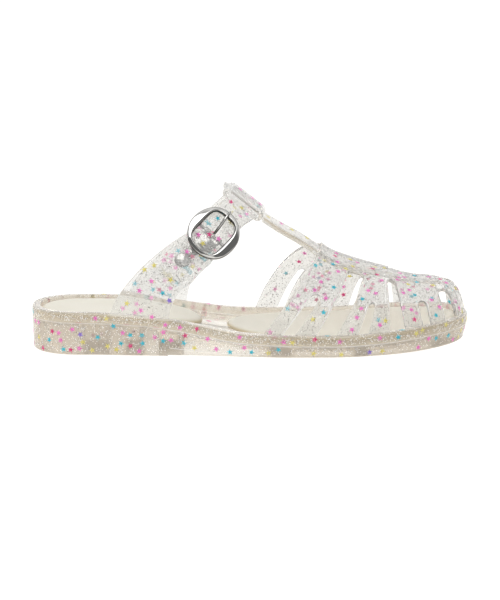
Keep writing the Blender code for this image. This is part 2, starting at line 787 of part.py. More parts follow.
def build_keeper(material):
    """Keeper: the loop at the head of the T-bar that the instep strap runs through."""
    centre = PATH.along(KEEPER_GIRTH)
    half = STRAP_WIDTH / 2.0 + KEEPER_PLAY
    inner = stadium(half + 0.9, -KEEPER_PLAY, INSTEP_WALL + KEEPER_PLAY)
    outer = stadium(half + 0.9 + KEEPER_WALL, -KEEPER_PLAY - KEEPER_WALL, INSTEP_WALL + KEEPER_PLAY + KEEPER_WALL)
    size = len(inner[0])
    run = np.linspace(centre - KEEPER_LENGTH / 2.0, centre + KEEPER_LENGTH / 2.0, 5)
    points = []
    for sides, heights in (outer, inner):
        for along in run:
            points.append(PATH.point(np.full(size, along), sides, heights))
    wall = len(run) * size
    faces = ring_faces(len(run), size, False)
    faces += [tuple(index + wall for index in reversed(face)) for face in faces]
    for end in (0, len(run) - 1):
        for corner in range(size):
            here = end * size + corner
            after = end * size + (corner + 1) % size
            faces.append((here, after, after + wall, here + wall))
    return make_object("keeper", np.concatenate(points), faces, material)


def prong_hole(material):
    """Cutter for the strap hole that the prong passes through."""
    angles = np.linspace(0.0, 2.0 * math.pi, 17)[:-1]
    along = PRONG_HOLE_PLACE + PRONG_HOLE_HALF * np.cos(angles)
    across = 2.0 * PRONG_RADIUS * np.sin(angles)
    loops = [PATH.point(along, across, np.full(len(angles), level)) for level in (1.6, 8.0)]
    return swept("prong_hole", loops, material)


def build_upper(material):
    """Upper: base band, vamp, T-bar, keeper and both straps joined into one moulded solid."""
    upper = build_band(material)
    upper.name = "upper"
    strap = build_instep_strap(material)
    combine(strap, [prong_hole(material)], "DIFFERENCE")
    pieces = [
        build_vamp(material),
        swept("spine", strip_loops(SPINE, 17), material),
        swept("saddle", strip_loops(SADDLE, 9), material),
        build_keeper(material),
        build_outer_strap(material),
        strap,
    ]
    combine(upper, pieces, "UNION")
    return upper


def ring_on_strap(name, rails, material):
    """Closed ring from rails of run, shift and height, one rail for each corner of its section."""
    loops = np.stack([PATH.point(*rail) for rail in rails], axis=1)
    return swept(name, loops, material, closed=True)


def superellipse(half_along, half_across, power, angles):
    """Run and shift round a superellipse."""
    cosine = np.cos(angles)
    sine = np.sin(angles)
    along = half_along * np.sign(cosine) * np.abs(cosine) ** (2.0 / power)
    across = half_across * np.sign(sine) * np.abs(sine) ** (2.0 / power)
    return along, across


def build_buckle_frame(material):
    """Buckle frame: a round rim with a squarer opening, bent with the strap, and its bar."""
    angles = np.linspace(0.0, 2.0 * math.pi, 49)[:-1]
    rim = superellipse(BUCKLE_OUTER, BUCKLE_OUTER, 2.1, angles)
    opening = superellipse(BUCKLE_OPENING_ALONG, BUCKLE_OPENING_ACROSS, 4.2, angles)

    def between(share, height):
        along = rim[0] + (opening[0] - rim[0]) * share
        across = rim[1] + (opening[1] - rim[1]) * share
        return along, across, np.full(len(angles), height)

    rails = [
        between(0.0, BUCKLE_FLOOR),
        between(0.0, BUCKLE_TOP - 0.7),
        between(0.25, BUCKLE_TOP),
        between(0.75, BUCKLE_TOP),
        between(1.0, BUCKLE_TOP - 0.7),
        between(1.0, BUCKLE_FLOOR),
    ]
    frame = ring_on_strap("buckle_frame", rails, material)
    corners = ((-BAR_POST, BUCKLE_FLOOR + 0.9), (-BAR_POST, BAR_LEVEL + 0.8), (-BAR_POST + 0.8, BAR_LEVEL),
               (0.0, BAR_LEVEL), (BAR_POST - 0.8, BAR_LEVEL), (BAR_POST, BAR_LEVEL + 0.8),
               (BAR_POST, BUCKLE_FLOOR + 0.9))
    combine(frame, [round_wire("bar", [(0.0, side, level) for side, level in corners], BAR_RADIUS, material)],
            "UNION")
    return frame


def round_wire(name, route, radius, material, sides=10):
    """Round wire through a route of runs, shifts and heights on the strap."""
    route = np.array(route, float)
    points = PATH.point(route[:, 0], route[:, 1], route[:, 2])
    tangent = np.gradient(points, axis=0)
    tangent = tangent / np.linalg.norm(tangent, axis=1, keepdims=True)
    _, across, out, _ = PATH.frame(np.zeros(1))
    ahead = np.cross(out[0], across[0])
    angles = np.linspace(0.0, 2.0 * math.pi, sides + 1)[:-1]
    loops = []
    radius = np.broadcast_to(np.asarray(radius, float), (len(points),))
    level_wire = np.ptp(route[:, 1]) < 1e-6
    for point, direction, size in zip(points, tangent, radius):
        first = across[0] if level_wire else ahead
        first = first - direction * np.dot(first, direction)
        first = first / np.linalg.norm(first)
        second = np.cross(direction, first)
        loops.append([point + size * (math.cos(a) * first + math.sin(a) * second) for a in angles])
    return swept(name, loops, material)


def eye_ring(name, half_width_across, shift, wall, material):
    """Eye that hangs on the bar with play all round."""
    play = BAR_RADIUS + SEAT_GAP
    angles = np.linspace(0.0, 2.0 * math.pi, 17)[:-1]
    rails = []
    for radius, side in ((play + wall, -1), (play + wall, 1), (play, 1), (play, -1)):
        rails.append((radius * np.cos(angles), np.full(len(angles), shift + side * half_width_across),
                      BAR_LEVEL + radius * np.sin(angles)))
    return ring_on_strap(name, rails, material)


def build_prong(material):
    """Prong: an eye on the bar and a round tongue through the strap's hole to the frame."""
    prong = eye_ring("buckle_prong", 1.0, 0.0, EYE_WALL, material)
    route = [(0.9, 0.0, BAR_LEVEL + 1.35), (2.4, 0.0, 3.6), (4.4, 0.0, 5.5), (7.0, 0.0, 7.4),
             (10.0, 0.0, 9.2), (12.2, 0.0, 9.65), (14.6, 0.0, 9.6)]
    radii = [0.75, PRONG_RADIUS, PRONG_RADIUS, PRONG_RADIUS, PRONG_RADIUS, 0.8, 0.6]
    combine(prong, [round_wire("tongue", route, radii, material)], "UNION")
    return prong


def flat_plate(name, runs, halves, shift, material):
    """Thin plate on the strap from runs along it and a half width at each."""
    loops = []
    for along, half in zip(runs, halves):
        shifts = shift + half * np.array([-1.0, 1.0, 1.0, -1.0])
        heights = CLIP_FLOOR + CLIP_WALL * np.array([0.0, 0.0, 1.0, 1.0])
        loops.append(PATH.point(np.full(4, along), shifts, heights))
    return swept(name, loops, material)


def build_stud(material):
    """Domed stud at the end of the clip's neck."""
    angles = np.linspace(0.0, 2.0 * math.pi, 25)[:-1]
    rings = ((1.0, 0.0), (1.0, CLIP_WALL * 0.8), (0.92, CLIP_WALL + 0.45 * STUD_DOME),
             (0.7, CLIP_WALL + 0.8 * STUD_DOME), (0.35, CLIP_WALL + STUD_DOME))
    loops = []
    for share, rise in rings:
        radius = STUD_RADIUS * share
        loops.append(PATH.point(STUD_PLACE + radius * np.cos(angles), radius * np.sin(angles),
                                np.full(len(angles), CLIP_FLOOR + rise)))
    return swept("stud", loops, material)


def build_clip(material):
    """Clip: two eyes on the bar, a plate that narrows to a neck, and a domed stud."""
    runs = np.linspace(CLIP.place[0], CLIP.place[-1], 13)
    clip = flat_plate("buckle_clip", runs, CLIP.at("half", runs), 0.0, material)
    pieces = [build_stud(material)]
    for side in (-1, 1):
        shift = side * CLIP_EYE_SHIFT
        tab = (CLIP.place[-1] - 0.8, -BAR_RADIUS)
        pieces.append(flat_plate(f"tab_{side}", tab, (CLIP_EYE_HALF, CLIP_EYE_HALF), shift, material))
        pieces.append(eye_ring(f"eye_{side}", CLIP_EYE_HALF + 0.1, shift, EYE_WALL, material))
    combine(clip, pieces, "UNION")
    return clip


def main():
    """Build the mule."""
    clear_scene()
    sole_pvc = make_material("sole_pvc", COLOURS["pvc"], 0.25, 0.0)
    upper_pvc = make_material("upper_pvc", COLOURS["pvc"], 0.2, 0.0)
    heel_foam = make_material("heel_foam", COLOURS["foam"], 0.8, 0.0)
    forefoot_foam = make_material("forefoot_foam", COLOURS["foam"], 0.8, 0.0)
    frame_chrome = make_material("frame_chrome", COLOURS["chrome"], 0.08, 1.0)
    prong_chrome = make_material("prong_chrome", COLOURS["chrome"], 0.08, 1.0)
    clip_chrome = make_material("clip_chrome", COLOURS["chrome"], 0.08, 1.0)
    build_sole(sole_pvc)
    build_upper(upper_pvc)
    build_pad("insole_heel_pad", 6.0, 101.0, 26.0, 46.0, heel_foam)
    build_pad("insole_forefoot_pad", 116.0, 253.6, 56.0, 68.0, forefoot_foam)
    build_buckle_frame(frame_chrome)
    build_prong(prong_chrome)
    build_clip(clip_chrome)


main()
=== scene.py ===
"""Looks of the clear fisherman mule: moulded PVC with cast-in confetti, foam pads and a chromed buckle.

Shape sizes are millimetres measured from the back of the heel (x), from the heel's centre line
towards the inner side of the foot (y) and up from the floor (z). The outer side of the foot is at -y.
"""

import logging
import math
from dataclasses import dataclass, field
from enum import Enum
from functools import partial
from typing import Callable, ClassVar, Optional, Sequence

import bpy
import numpy as np
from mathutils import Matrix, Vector
from mathutils.bvhtree import BVHTree
from mathutils.geometry import delaunay_2d_cdt


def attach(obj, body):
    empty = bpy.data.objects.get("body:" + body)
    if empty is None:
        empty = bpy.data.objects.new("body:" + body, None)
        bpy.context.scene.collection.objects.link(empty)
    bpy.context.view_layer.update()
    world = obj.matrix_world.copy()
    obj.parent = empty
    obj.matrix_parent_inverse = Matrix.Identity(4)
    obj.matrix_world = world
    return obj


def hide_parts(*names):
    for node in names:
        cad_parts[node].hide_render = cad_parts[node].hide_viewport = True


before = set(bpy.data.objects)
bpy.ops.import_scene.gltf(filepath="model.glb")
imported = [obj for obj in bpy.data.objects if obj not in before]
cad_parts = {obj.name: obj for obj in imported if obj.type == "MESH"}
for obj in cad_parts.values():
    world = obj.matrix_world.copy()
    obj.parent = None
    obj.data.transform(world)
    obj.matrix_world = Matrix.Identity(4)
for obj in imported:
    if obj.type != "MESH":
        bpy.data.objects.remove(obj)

LOG = logging.getLogger("mule")
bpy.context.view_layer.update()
MM = 0.001
TINY = 1e-6
BODY = "root"
SEED = 20

Array = np.ndarray
Item = bpy.types.Object


class Table:
    """Rows of sizes under named columns; the first column is the place, the others follow it smoothly."""

    def __init__(self, columns: Sequence[str], rows: Sequence[Sequence[float]]) -> None:
        """Keep the columns as arrays.

        Args:
            columns: Name of each column, the place first.
            rows: Rows of numbers in the order of the columns.
        """
        grid = np.array(rows, float)
        self.place: Array = grid[:, 0]
        self.values: dict[str, Array] = dict(zip(columns, grid.T))

    def at(self, column: str, place: Array) -> Array:
        """Value of a column by a cubic through the rows, its slopes the harmonic mean of the two sides'.

        Args:
            column: Name of the column.
            place: Places along the first column.

        Returns:
            The column's values there; past the ends the end row holds.
        """
        xs = self.place
        ys = self.values[column]
        rise = np.diff(ys) / np.diff(xs)
        both = rise[:-1] * rise[1:]
        safe = np.where(both > 0, rise[:-1] + rise[1:], 1.0)
        inner = np.where(both > 0, 2.0 * both / safe, 0.0)
        slope = np.concatenate([rise[:1], inner, rise[-1:]])
        place = np.clip(np.asarray(place, float), xs[0], xs[-1])
        left = np.clip(np.searchsorted(xs, place, side="right") - 1, 0, len(xs) - 2)
        span = xs[left + 1] - xs[left]
        t = (place - xs[left]) / span
        keep = 1 + t * t * (2 * t - 3)
        ends = keep * ys[left] + (1 - keep) * ys[left + 1]
        return ends + span * t * (1 - t) * ((1 - t) * slope[left] - t * slope[left + 1])


SOLE_SIZES = Table(("x", "half", "middle", "rim", "floor", "tuck"), (
    (0.0, 29.8, 0.0, 25.6, 0.0, 0.6),
    (30.0, 29.8, 0.0, 25.4, 0.0, 0.6),
    (60.0, 32.3, -1.0, 24.4, 0.0, 0.6),
    (82.0, 34.4, -1.8, 22.0, 0.0, 0.6),
    (98.0, 36.0, -2.0, 19.1, 0.0, 0.7),
    (125.0, 41.2, -0.9, 14.6, 0.0, 0.8),
    (153.0, 45.0, 0.0, 13.2, 0.0, 0.9),
    (180.0, 46.3, 0.3, 13.0, 0.0, 1.0),
    (204.0, 46.3, 0.8, 14.2, 0.6, 1.4),
    (223.0, 46.3, 1.9, 15.8, 1.3, 1.6),
    (243.0, 46.3, 3.6, 17.5, 2.4, 1.8),
    (260.0, 46.3, 5.0, 18.4, 3.4, 2.0),
))
BREAST = 79.0
BREAST_STEP = 0.5
REBATE = Table(("x", "height", "inset"), (
    (0.0, 1.3, 0.0),
    (BREAST, 1.3, 0.0),
    (BREAST + BREAST_STEP, 4.6, 2.4),
    (93.0, 3.4, 2.3),
    (106.0, 2.4, 1.8),
    (139.0, 1.4, 0.3),
    (150.0, 1.3, 0.0),
    (260.0, 1.3, 0.0),
))
WAIST = Table(("x", "thick"), (
    (0.0, 1.0),
    (58.0, 1.0),
    (68.0, 0.65),
    (90.0, 0.25),
    (122.0, 0.25),
    (142.0, 1.0),
    (260.0, 1.0),
))
CELLS = Table(("x", "end"), (
    (9.0, 31.0),
    (45.0, 55.5),
    (65.0, 74.5),
    (88.0, 140.0),
    (152.0, 190.0),
    (197.0, 236.0),
))
RIDGE = Table(("x", "side", "height"), (
    (138.0, 5.0, 78.9),
    (147.0, 5.4, 73.4),
    (160.0, 6.2, 66.5),
    (170.0, 7.2, 60.4),
    (179.0, 7.7, 54.0),
    (194.6, 8.0, 48.0),
    (212.5, 7.8, 43.1),
    (222.7, 7.4, 39.9),
    (232.3, 7.0, 38.3),
    (241.8, 6.6, 37.7),
    (248.0, 6.4, 37.0),
))
RIBS = Table(("base", "inner_shift", "top", "lean", "inner_lean", "outer_fall", "inner_fall"), (
    (132.6, 1.4, 171.7, 1.00, 0.45, 1.20, 0.95),
    (148.0, 4.0, 181.5, 1.00, 0.45, 1.20, 0.95),
    (165.5, 2.4, 190.8, 1.00, 0.50, 1.20, 0.95),
    (177.2, 2.3, 200.6, 1.00, 0.55, 1.18, 0.95),
    (193.5, 2.0, 206.0, 1.00, 0.60, 1.15, 0.95),
    (209.7, 1.0, 210.5, 0.90, 0.60, 1.10, 0.95),
    (219.8, 0.3, 214.0, 0.75, 0.60, 1.08, 0.95),
    (232.5, 0.1, 225.0, 0.55, 0.50, 1.04, 0.95),
    (244.2, 0.0, 237.0, 0.30, 0.30, 1.00, 0.96),
    (251.6, 0.0, 241.6, 0.10, 0.10, 0.98, 0.97),
    (257.5, 0.0, 246.0, 0.00, 0.00, 0.97, 0.97),
))
OUTER_OPENINGS = Table(("start", "end", "reach"), (
    (143.7, 151.0, 0.41),
    (163.8, 175.6, 0.74),
    (189.0, 195.8, 0.40),
    (209.7, 219.8, 0.72),
    (230.6, 235.6, 0.43),
    (244.2, 251.4, 0.62),
))
INNER_OPENINGS = Table(("start", "end", "reach"), (
    (143.7, 148.0, 0.48),
    (189.3, 193.5, 0.47),
    (214.5, 219.8, 0.72),
    (246.0, 251.4, 0.62),
))
SPINE = Table(("x", "shift", "roll", "width", "lift"), (
    (138.0, 0.0, 8.0, 13.6, -1.6),
    (160.0, -3.0, 14.0, 13.0, -1.8),
    (178.0, -5.5, 15.0, 13.0, -1.8),
    (208.0, -5.0, 13.0, 13.0, -0.2),
    (216.0, -4.5, 12.0, 13.0, 0.3),
    (234.0, -3.0, 8.0, 13.0, 0.3),
    (244.0, -1.5, 4.0, 13.0, -0.6),
))
SADDLE = Table(("x", "shift", "roll", "width", "lift"), (
    (172.5, -5.2, 15.0, 15.0, 0.2),
    (190.0, -5.4, 14.5, 17.0, 0.4),
    (213.0, -4.6, 12.5, 15.0, 0.4),
))
ARCH = Table(("girth", "rear_x", "rear_y", "rear_z", "front_x", "front_y", "front_z"), (
    (0.0, 44.4, -29.0, 21.3, 80.0, -33.4, 18.6),
    (1.0, 47.9, -31.2, 31.6, 80.9, -35.0, 27.7),
    (2.0, 59.9, -30.5, 47.7, 87.0, -34.5, 39.1),
    (3.0, 67.7, -29.0, 55.2, 92.2, -33.6, 42.2),
    (4.0, 80.5, -25.5, 65.0, 98.3, -30.8, 48.4),
    (5.0, 91.0, -21.8, 71.4, 106.6, -27.3, 55.0),
    (6.0, 100.7, -16.2, 78.6, 117.7, -22.6, 64.4),
    (7.0, 108.9, -7.8, 86.9, 126.6, -14.8, 72.9),
    (8.0, 119.0, 5.0, 91.6, 135.4, 5.0, 78.8),
    (9.0, 118.5, 14.6, 90.0, 134.5, 15.0, 77.2),
    (10.0, 110.0, 24.2, 80.0, 127.0, 25.2, 69.4),
    (11.0, 96.0, 30.8, 65.0, 114.0, 32.0, 55.0),
    (12.0, 80.0, 33.2, 46.0, 101.5, 34.4, 39.5),
    (13.0, 65.0, 31.6, 31.0, 94.5, 33.0, 27.5),
    (14.0, 58.5, 28.0, 20.4, 92.5, 30.6, 16.6),
))
INSTEP_STRAP = Table(("along", "half", "shift", "level"), (
    (-42.0, 7.6, 2.6, 2.7),
    (-39.0, 8.8, 2.2, 2.8),
    (-31.0, 9.2, 1.5, 3.6),
    (-26.5, 9.3, 1.0, 4.7),
    (-20.0, 9.3, 0.6, 4.7),
    (-16.5, 9.3, 0.4, 3.9),
    (-12.0, 9.4, 0.2, 3.8),
    (-4.0, 9.7, 0.0, 3.65),
    (4.0, 9.8, 0.0, 3.55),
    (14.0, 9.6, 0.6, 2.6),
    (24.0, 10.3, 0.6, 0.2),
    (38.0, 10.6, 0.0, 0.0),
))


def unit(vectors: Array) -> Array:
    """Vectors of length one in the same directions."""
    return vectors / np.maximum(np.linalg.norm(vectors, axis=-1, keepdims=True), TINY)


def full_turn(count: int) -> Array:
    """Even angles of a full turn, the first one 0."""
    return np.linspace(0.0, 2.0 * np.pi, count + 1)[:-1]


def run_along(points: Array) -> Array:
    """Length of a line from its first point to each of its points."""
    return np.concatenate([[0.0], np.cumsum(np.linalg.norm(np.diff(points, axis=0), axis=1))])


def new_object(name: str, data: bpy.types.ID) -> Item:
    """Object in the scene for a mesh, a light or a camera."""
    item = bpy.data.objects.new(name, data)
    bpy.context.scene.collection.objects.link(item)
    return item


def write_share(item: Item, name: str, share: Array) -> None:
    """Keep one number for each vertex under a name that a material reads.

    Args:
        item: Object whose mesh keeps the numbers.
        name: Name of the attribute.
        share: One number for each vertex.
    """
    layer = item.data.attributes.new(name, "FLOAT", "POINT")
    layer.data.foreach_set("value", np.asarray(share, np.float32))


def linear(code: str) -> tuple[float, float, float, float]:
    """Linear colour of an sRGB hex value."""
    parts = np.array([int(code[index:index + 2], 16) for index in (1, 3, 5)]) / 255.0
    value = np.where(parts <= 0.04045, parts / 12.92, ((parts + 0.055) / 1.055) ** 2.4)
    return (float(value[0]), float(value[1]), float(value[2]), 1.0)


def set_inputs(tree: bpy.types.NodeTree, node: bpy.types.Node, inputs: dict) -> None:
    """Set or connect inputs of a node.

    Args:
        tree: Node tree of the material or world.
        node: The node.
        inputs: Values or sockets, by the input's name or number.
    """
    for name, value in inputs.items():
        if isinstance(value, bpy.types.NodeSocket):
            tree.links.new(value, node.inputs[name])
        else:
            node.inputs[name].default_value = value


def add_node(tree: bpy.types.NodeTree, kind: str, settings: Optional[dict] = None,
             inputs: Optional[dict] = None) -> bpy.types.Node:
    """Add a node to a material or world.

    Args:
        tree: Node tree that takes the node.
        kind: Blender's name for the kind of node.
        settings: Values for the node's own properties.
        inputs: Values or sockets for its inputs, by name or number.

    Returns:
        The new node.
    """
    node = tree.nodes.new(kind)
    for name, value in (settings or {}).items():
        setattr(node, name, value)
    set_inputs(tree, node, inputs or {})
    return node


def new_material(name: str) -> tuple[bpy.types.Material, bpy.types.NodeTree, bpy.types.Node]:
    """Empty Principled material.

    Args:
        name: Name of the material.

    Returns:
        The material, its node tree and its Principled shader.
    """
    material = bpy.data.materials.new(name)
    material.use_nodes = True
    tree = material.node_tree
    return material, tree, tree.nodes["Principled BSDF"]


@dataclass(frozen=True)
class ClearPvc:
    """Injection-moulded clear PVC: glossy, warm where it is thick, with fine dust cast in it."""

    name: str
    tint: str
    clear: float
    absorb_per_metre: float
    thick_tint: str = "#D3C8B4"
    thick_clear: float = 0.6
    dull_clear: float = 0.15
    absorb: str = "#D8CCB4"
    speck: str = "#B4ADA4"
    ior: float = 1.3
    speck_spacing: float = 1.5
    speck_reach: float = 0.18
    speck_core: float = 0.6
    flow_width: float = 9.0
    flow_depth: float = 0.03
    flow_strength: float = 0.25
    gloss: tuple[float, float] = (0.01, 0.05)
    dull_rough: float = 0.5
    thick: ClassVar[str] = "thick"
    # Share of milky plastic: textured and hazy parts, and the painted highlight lines.
    haze_and_highlight: ClassVar[str] = "haze_and_highlight"

    def material(self) -> bpy.types.Material:
        """Clear shader with dust, moulding flow in the surface and absorption in the body.

        Returns:
            The material.
        """
        material, tree, shader = new_material(self.name)
        place = add_node(tree, "ShaderNodeTexCoord").outputs["Object"]
        thick = add_node(tree, "ShaderNodeAttribute", {"attribute_name": self.thick}).outputs["Fac"]
        haze_and_highlight = add_node(tree, "ShaderNodeAttribute", {"attribute_name": self.haze_and_highlight}).outputs["Fac"]
        cells = add_node(tree, "ShaderNodeTexVoronoi", {"feature": "F1"},
                         {"Vector": place, "Scale": 1.0 / (self.speck_spacing * MM), "Randomness": 1.0})
        dust = add_node(tree, "ShaderNodeMapRange", {"interpolation_type": "SMOOTHSTEP"},
                        {"Value": cells.outputs["Distance"], "From Min": self.speck_reach * self.speck_core,
                         "From Max": self.speck_reach, "To Min": 1.0, "To Max": 0.0})
        tint = add_node(tree, "ShaderNodeMix", {"data_type": "RGBA"},
                        {"Factor": thick, "A": linear(self.tint), "B": linear(self.thick_tint)})
        colour = add_node(tree, "ShaderNodeMix", {"data_type": "RGBA"},
                          {"Factor": dust.outputs["Result"], "A": tint.outputs["Result"],
                           "B": linear(self.speck)})
        body_clear = add_node(tree, "ShaderNodeMapRange", None,
                              {"Value": thick, "To Min": self.clear, "To Max": self.thick_clear})
        # The milky share, painted highlight lines included, lowers the transmission.
        clear = add_node(tree, "ShaderNodeMapRange", None,
                         {"Value": haze_and_highlight, "To Min": body_clear.outputs["Result"], "To Max": self.dull_clear})
        noise = add_node(tree, "ShaderNodeTexNoise", None,
                         {"Vector": place, "Scale": 1.0 / (self.flow_width * MM), "Detail": 2.0})
        flow = noise.outputs["Fac"]
        gloss = add_node(tree, "ShaderNodeMapRange", None,
                         {"Value": flow, "To Min": self.gloss[0], "To Max": self.gloss[1]})
        rough = add_node(tree, "ShaderNodeMath", {"operation": "MULTIPLY_ADD"},
                         {0: haze_and_highlight, 1: self.dull_rough, 2: gloss.outputs["Result"]})
        skin = add_node(tree, "ShaderNodeBump", None, {"Height": flow, "Strength": self.flow_strength,
                                                       "Distance": self.flow_depth * MM})
        set_inputs(tree, shader, {
            "Base Color": colour.outputs["Result"],
            "Transmission Weight": clear.outputs["Result"],
            "Roughness": rough.outputs[0],
            "Normal": skin.outputs["Normal"],
            "IOR": self.ior,
        })
        body = add_node(tree, "ShaderNodeVolumeAbsorption", None,
                        {"Color": linear(self.absorb), "Density": self.absorb_per_metre})
        set_inputs(tree, tree.nodes["Material Output"], {"Volume": body.outputs["Volume"]})
        return material

    def coat(self, item: Item, thick: Array, haze_and_highlight: Array) -> None:
        """Give a moulding this finish and let light through it to what lies inside and below.

        Args:
            item: The moulding.
            thick: How much each vertex belongs to a thick and warm part, 0 to 1.
            haze_and_highlight: How much each vertex belongs to a textured or milky part, painted highlight
                lines included, 0 to 1.
        """
        write_share(item, self.thick, thick)
        write_share(item, self.haze_and_highlight, haze_and_highlight)
        item.data.materials.clear()
        item.data.materials.append(self.material())
        item.visible_shadow = False


@dataclass(frozen=True)
class CreamFoam:
    """Skived EVA foam: matte cream with a fine closed-cell grain, with painted shade along its lower edge."""

    name: str
    colour: str = "#EAE7DC"
    shade: str = "#E2DDCF"
    # Painted shade: darker colour for the pad's lower edge, where less light falls.
    edge: str = "#C9BCA0"
    grain: float = 0.55
    grain_depth: float = 0.12
    grain_strength: float = 0.3
    cloud: float = 22.0
    rough: tuple[float, float] = (0.62, 0.8)
    sheen: float = 0.3
    painted_edge_shade: ClassVar[str] = "painted_edge_shade"

    def material(self) -> bpy.types.Material:
        """Matte shader with cloudy colour, painted shade along the lower edge and a fine grain in its height.

        Returns:
            The material.
        """
        material, tree, shader = new_material(self.name)
        place = add_node(tree, "ShaderNodeTexCoord").outputs["Object"]
        painted_edge_shade = add_node(tree, "ShaderNodeAttribute", {"attribute_name": self.painted_edge_shade}).outputs["Fac"]
        cloud = add_node(tree, "ShaderNodeTexNoise", None,
                         {"Vector": place, "Scale": 1.0 / (self.cloud * MM), "Detail": 3.0})
        face = add_node(tree, "ShaderNodeMix", {"data_type": "RGBA"},
                        {"Factor": cloud.outputs["Fac"], "A": linear(self.colour), "B": linear(self.shade)})
        # Painted shade: the lower edge is mixed toward the darker edge colour.
        colour = add_node(tree, "ShaderNodeMix", {"data_type": "RGBA"},
                          {"Factor": painted_edge_shade, "A": face.outputs["Result"], "B": linear(self.edge)})
        cells = add_node(tree, "ShaderNodeTexVoronoi", {"feature": "SMOOTH_F1"},
                         {"Vector": place, "Scale": 1.0 / (self.grain * MM)}).outputs["Distance"]
        rough = add_node(tree, "ShaderNodeMapRange", None,
                         {"Value": cells, "To Min": self.rough[0], "To Max": self.rough[1]})
        grain = add_node(tree, "ShaderNodeBump", None, {"Height": cells, "Strength": self.grain_strength,
                                                        "Distance": self.grain_depth * MM})
        set_inputs(tree, shader, {
            "Base Color": colour.outputs["Result"],
            "Roughness": rough.outputs["Result"],
            "Normal": grain.outputs["Normal"],
            "Specular IOR Level": self.sheen,
        })
        return material

    def coat(self, item: Item, painted_edge_shade: Array) -> None:
        """Give a pad this finish.

        Args:
            item: The pad.
            painted_edge_shade: How far down the bevel each vertex lies, 0 to 1, which sets its painted shade.
        """
        write_share(item, self.painted_edge_shade, painted_edge_shade)
        item.data.materials.append(self.material())


@dataclass(frozen=True)
class BrightChrome:
    """Polished chrome plate on cast zinc: mirror bright, with a painted dark reflection on its sides, and
    faint wiping marks.
    """

    name: str
    colour: str = "#DCDBD8"
    # Painted reflection: dark colour on the sides, standing in for the dim room they would mirror.
    painted_reflection_colour: str = "#4E4C49"
    mark: float = 1.6
    mark_stretch: tuple[float, float, float] = (1.0, 5.0, 1.0)
    rough: tuple[float, float] = (0.02, 0.1)
    painted_reflection_start: float = 0.93
    painted_reflection_fade: float = 0.2
    # Vertex share of the painted dark reflection on the sides.
    side: ClassVar[str] = "side"

    def material(self) -> bpy.types.Material:
        """Mirror metal with a painted dark reflection on its sides, its roughness carrying fine wiping marks.

        Returns:
            The material.
        """
        material, tree, shader = new_material(self.name)
        place = add_node(tree, "ShaderNodeTexCoord").outputs["Object"]
        side = add_node(tree, "ShaderNodeAttribute", {"attribute_name": self.side}).outputs["Fac"]
        # Painted reflection: the sides are mixed toward the dark colour.
        colour = add_node(tree, "ShaderNodeMix", {"data_type": "RGBA"},
                          {"Factor": side, "A": linear(self.colour), "B": linear(self.painted_reflection_colour)})
        drawn = add_node(tree, "ShaderNodeMapping", None, {"Vector": place, "Scale": self.mark_stretch})
        marks = add_node(tree, "ShaderNodeTexNoise", None,
                         {"Vector": drawn.outputs["Vector"], "Scale": 1.0 / (self.mark * MM), "Detail": 4.0})
        rough = add_node(tree, "ShaderNodeMapRange", None,
                         {"Value": marks.outputs["Fac"], "To Min": self.rough[0], "To Max": self.rough[1]})
        set_inputs(tree, shader, {
            "Base Color": colour.outputs["Result"],
            "Roughness": rough.outputs["Result"],
            "Metallic": 1.0,
        })
        return material

    def coat(self, item: Item, out: Array) -> None:
        """Give a metal piece this finish.

        Args:
            item: The piece.
            out: Direction that its face looks in; faces across it are sides, which get the painted dark
                reflection.
        """
        normals = np.empty(len(item.data.vertices) * 3, np.float32)
        item.data.vertices.foreach_get("normal", normals)
        facing = np.abs(normals.reshape(-1, 3) @ out)
        # The painted dark reflection grows as a face turns across the out direction.
        write_share(item, self.side, np.clip((self.painted_reflection_start - facing) / self.painted_reflection_fade, 0.0, 1.0))
        item.data.materials.append(self.material())


@dataclass(frozen=True)
class FlakeFilm:
    """Dyed PET film cut into flakes: thin, satin, each a little lighter or darker."""

    name: str
    colour: str
    deep: str
    clear: float = 0.0
    ior: float = 1.3
    roughness: float = 0.35
    vary: float = 3.0

    def material(self) -> bpy.types.Material:
        """Satin film whose colour changes from flake to flake.

        Returns:
            The material.
        """
        material, tree, shader = new_material(self.name)
        place = add_node(tree, "ShaderNodeTexCoord").outputs["Object"]
        lot = add_node(tree, "ShaderNodeTexNoise", None,
                       {"Vector": place, "Scale": 1.0 / (self.vary * MM), "Detail": 0.0})
        colour = add_node(tree, "ShaderNodeMix", {"data_type": "RGBA"},
                          {"Factor": lot.outputs["Fac"], "A": linear(self.colour), "B": linear(self.deep)})
        set_inputs(tree, shader, {
            "Base Color": colour.outputs["Result"],
            "Roughness": self.roughness,
            "Transmission Weight": self.clear,
            "IOR": self.ior,
        })
        return material


class Film(Enum):
    """Colours of the confetti stars, each with its share of the mix."""

    PINK = ("pink", "#FF9CE2", "#FC80D0", 0.40)
    ROSE = ("rose", "#F35C9E", "#E83C86", 0.16)
    TEAL = ("teal", "#58DCEC", "#38C2DA", 0.20)
    YELLOW = ("yellow", "#F8EE9A", "#F0E274", 0.21)
    LILAC = ("lilac", "#A98CEA", "#8C6CDA", 0.03)


def grid_quads(rows: int, columns: int, close_rows: bool, close_columns: bool) -> Array:
    """Quads between neighbours of a grid of points.

    Args:
        rows: Number of rows.
        columns: Number of points in a row.
        close_rows: Whether the last row joins the first.
        close_columns: Whether each row is a closed loop.

    Returns:
        Corner numbers, one quad in each row of the array.
    """
    row = np.arange(rows if close_rows else rows - 1)[:, None]
    column = np.arange(columns if close_columns else columns - 1)[None, :]
    after_row = (row + 1) % rows
    after_column = (column + 1) % columns
    corners = (row * columns + column, row * columns + after_column,
               after_row * columns + after_column, after_row * columns + column)
    return np.stack(np.broadcast_arrays(*corners), axis=-1).reshape(-1, 4)


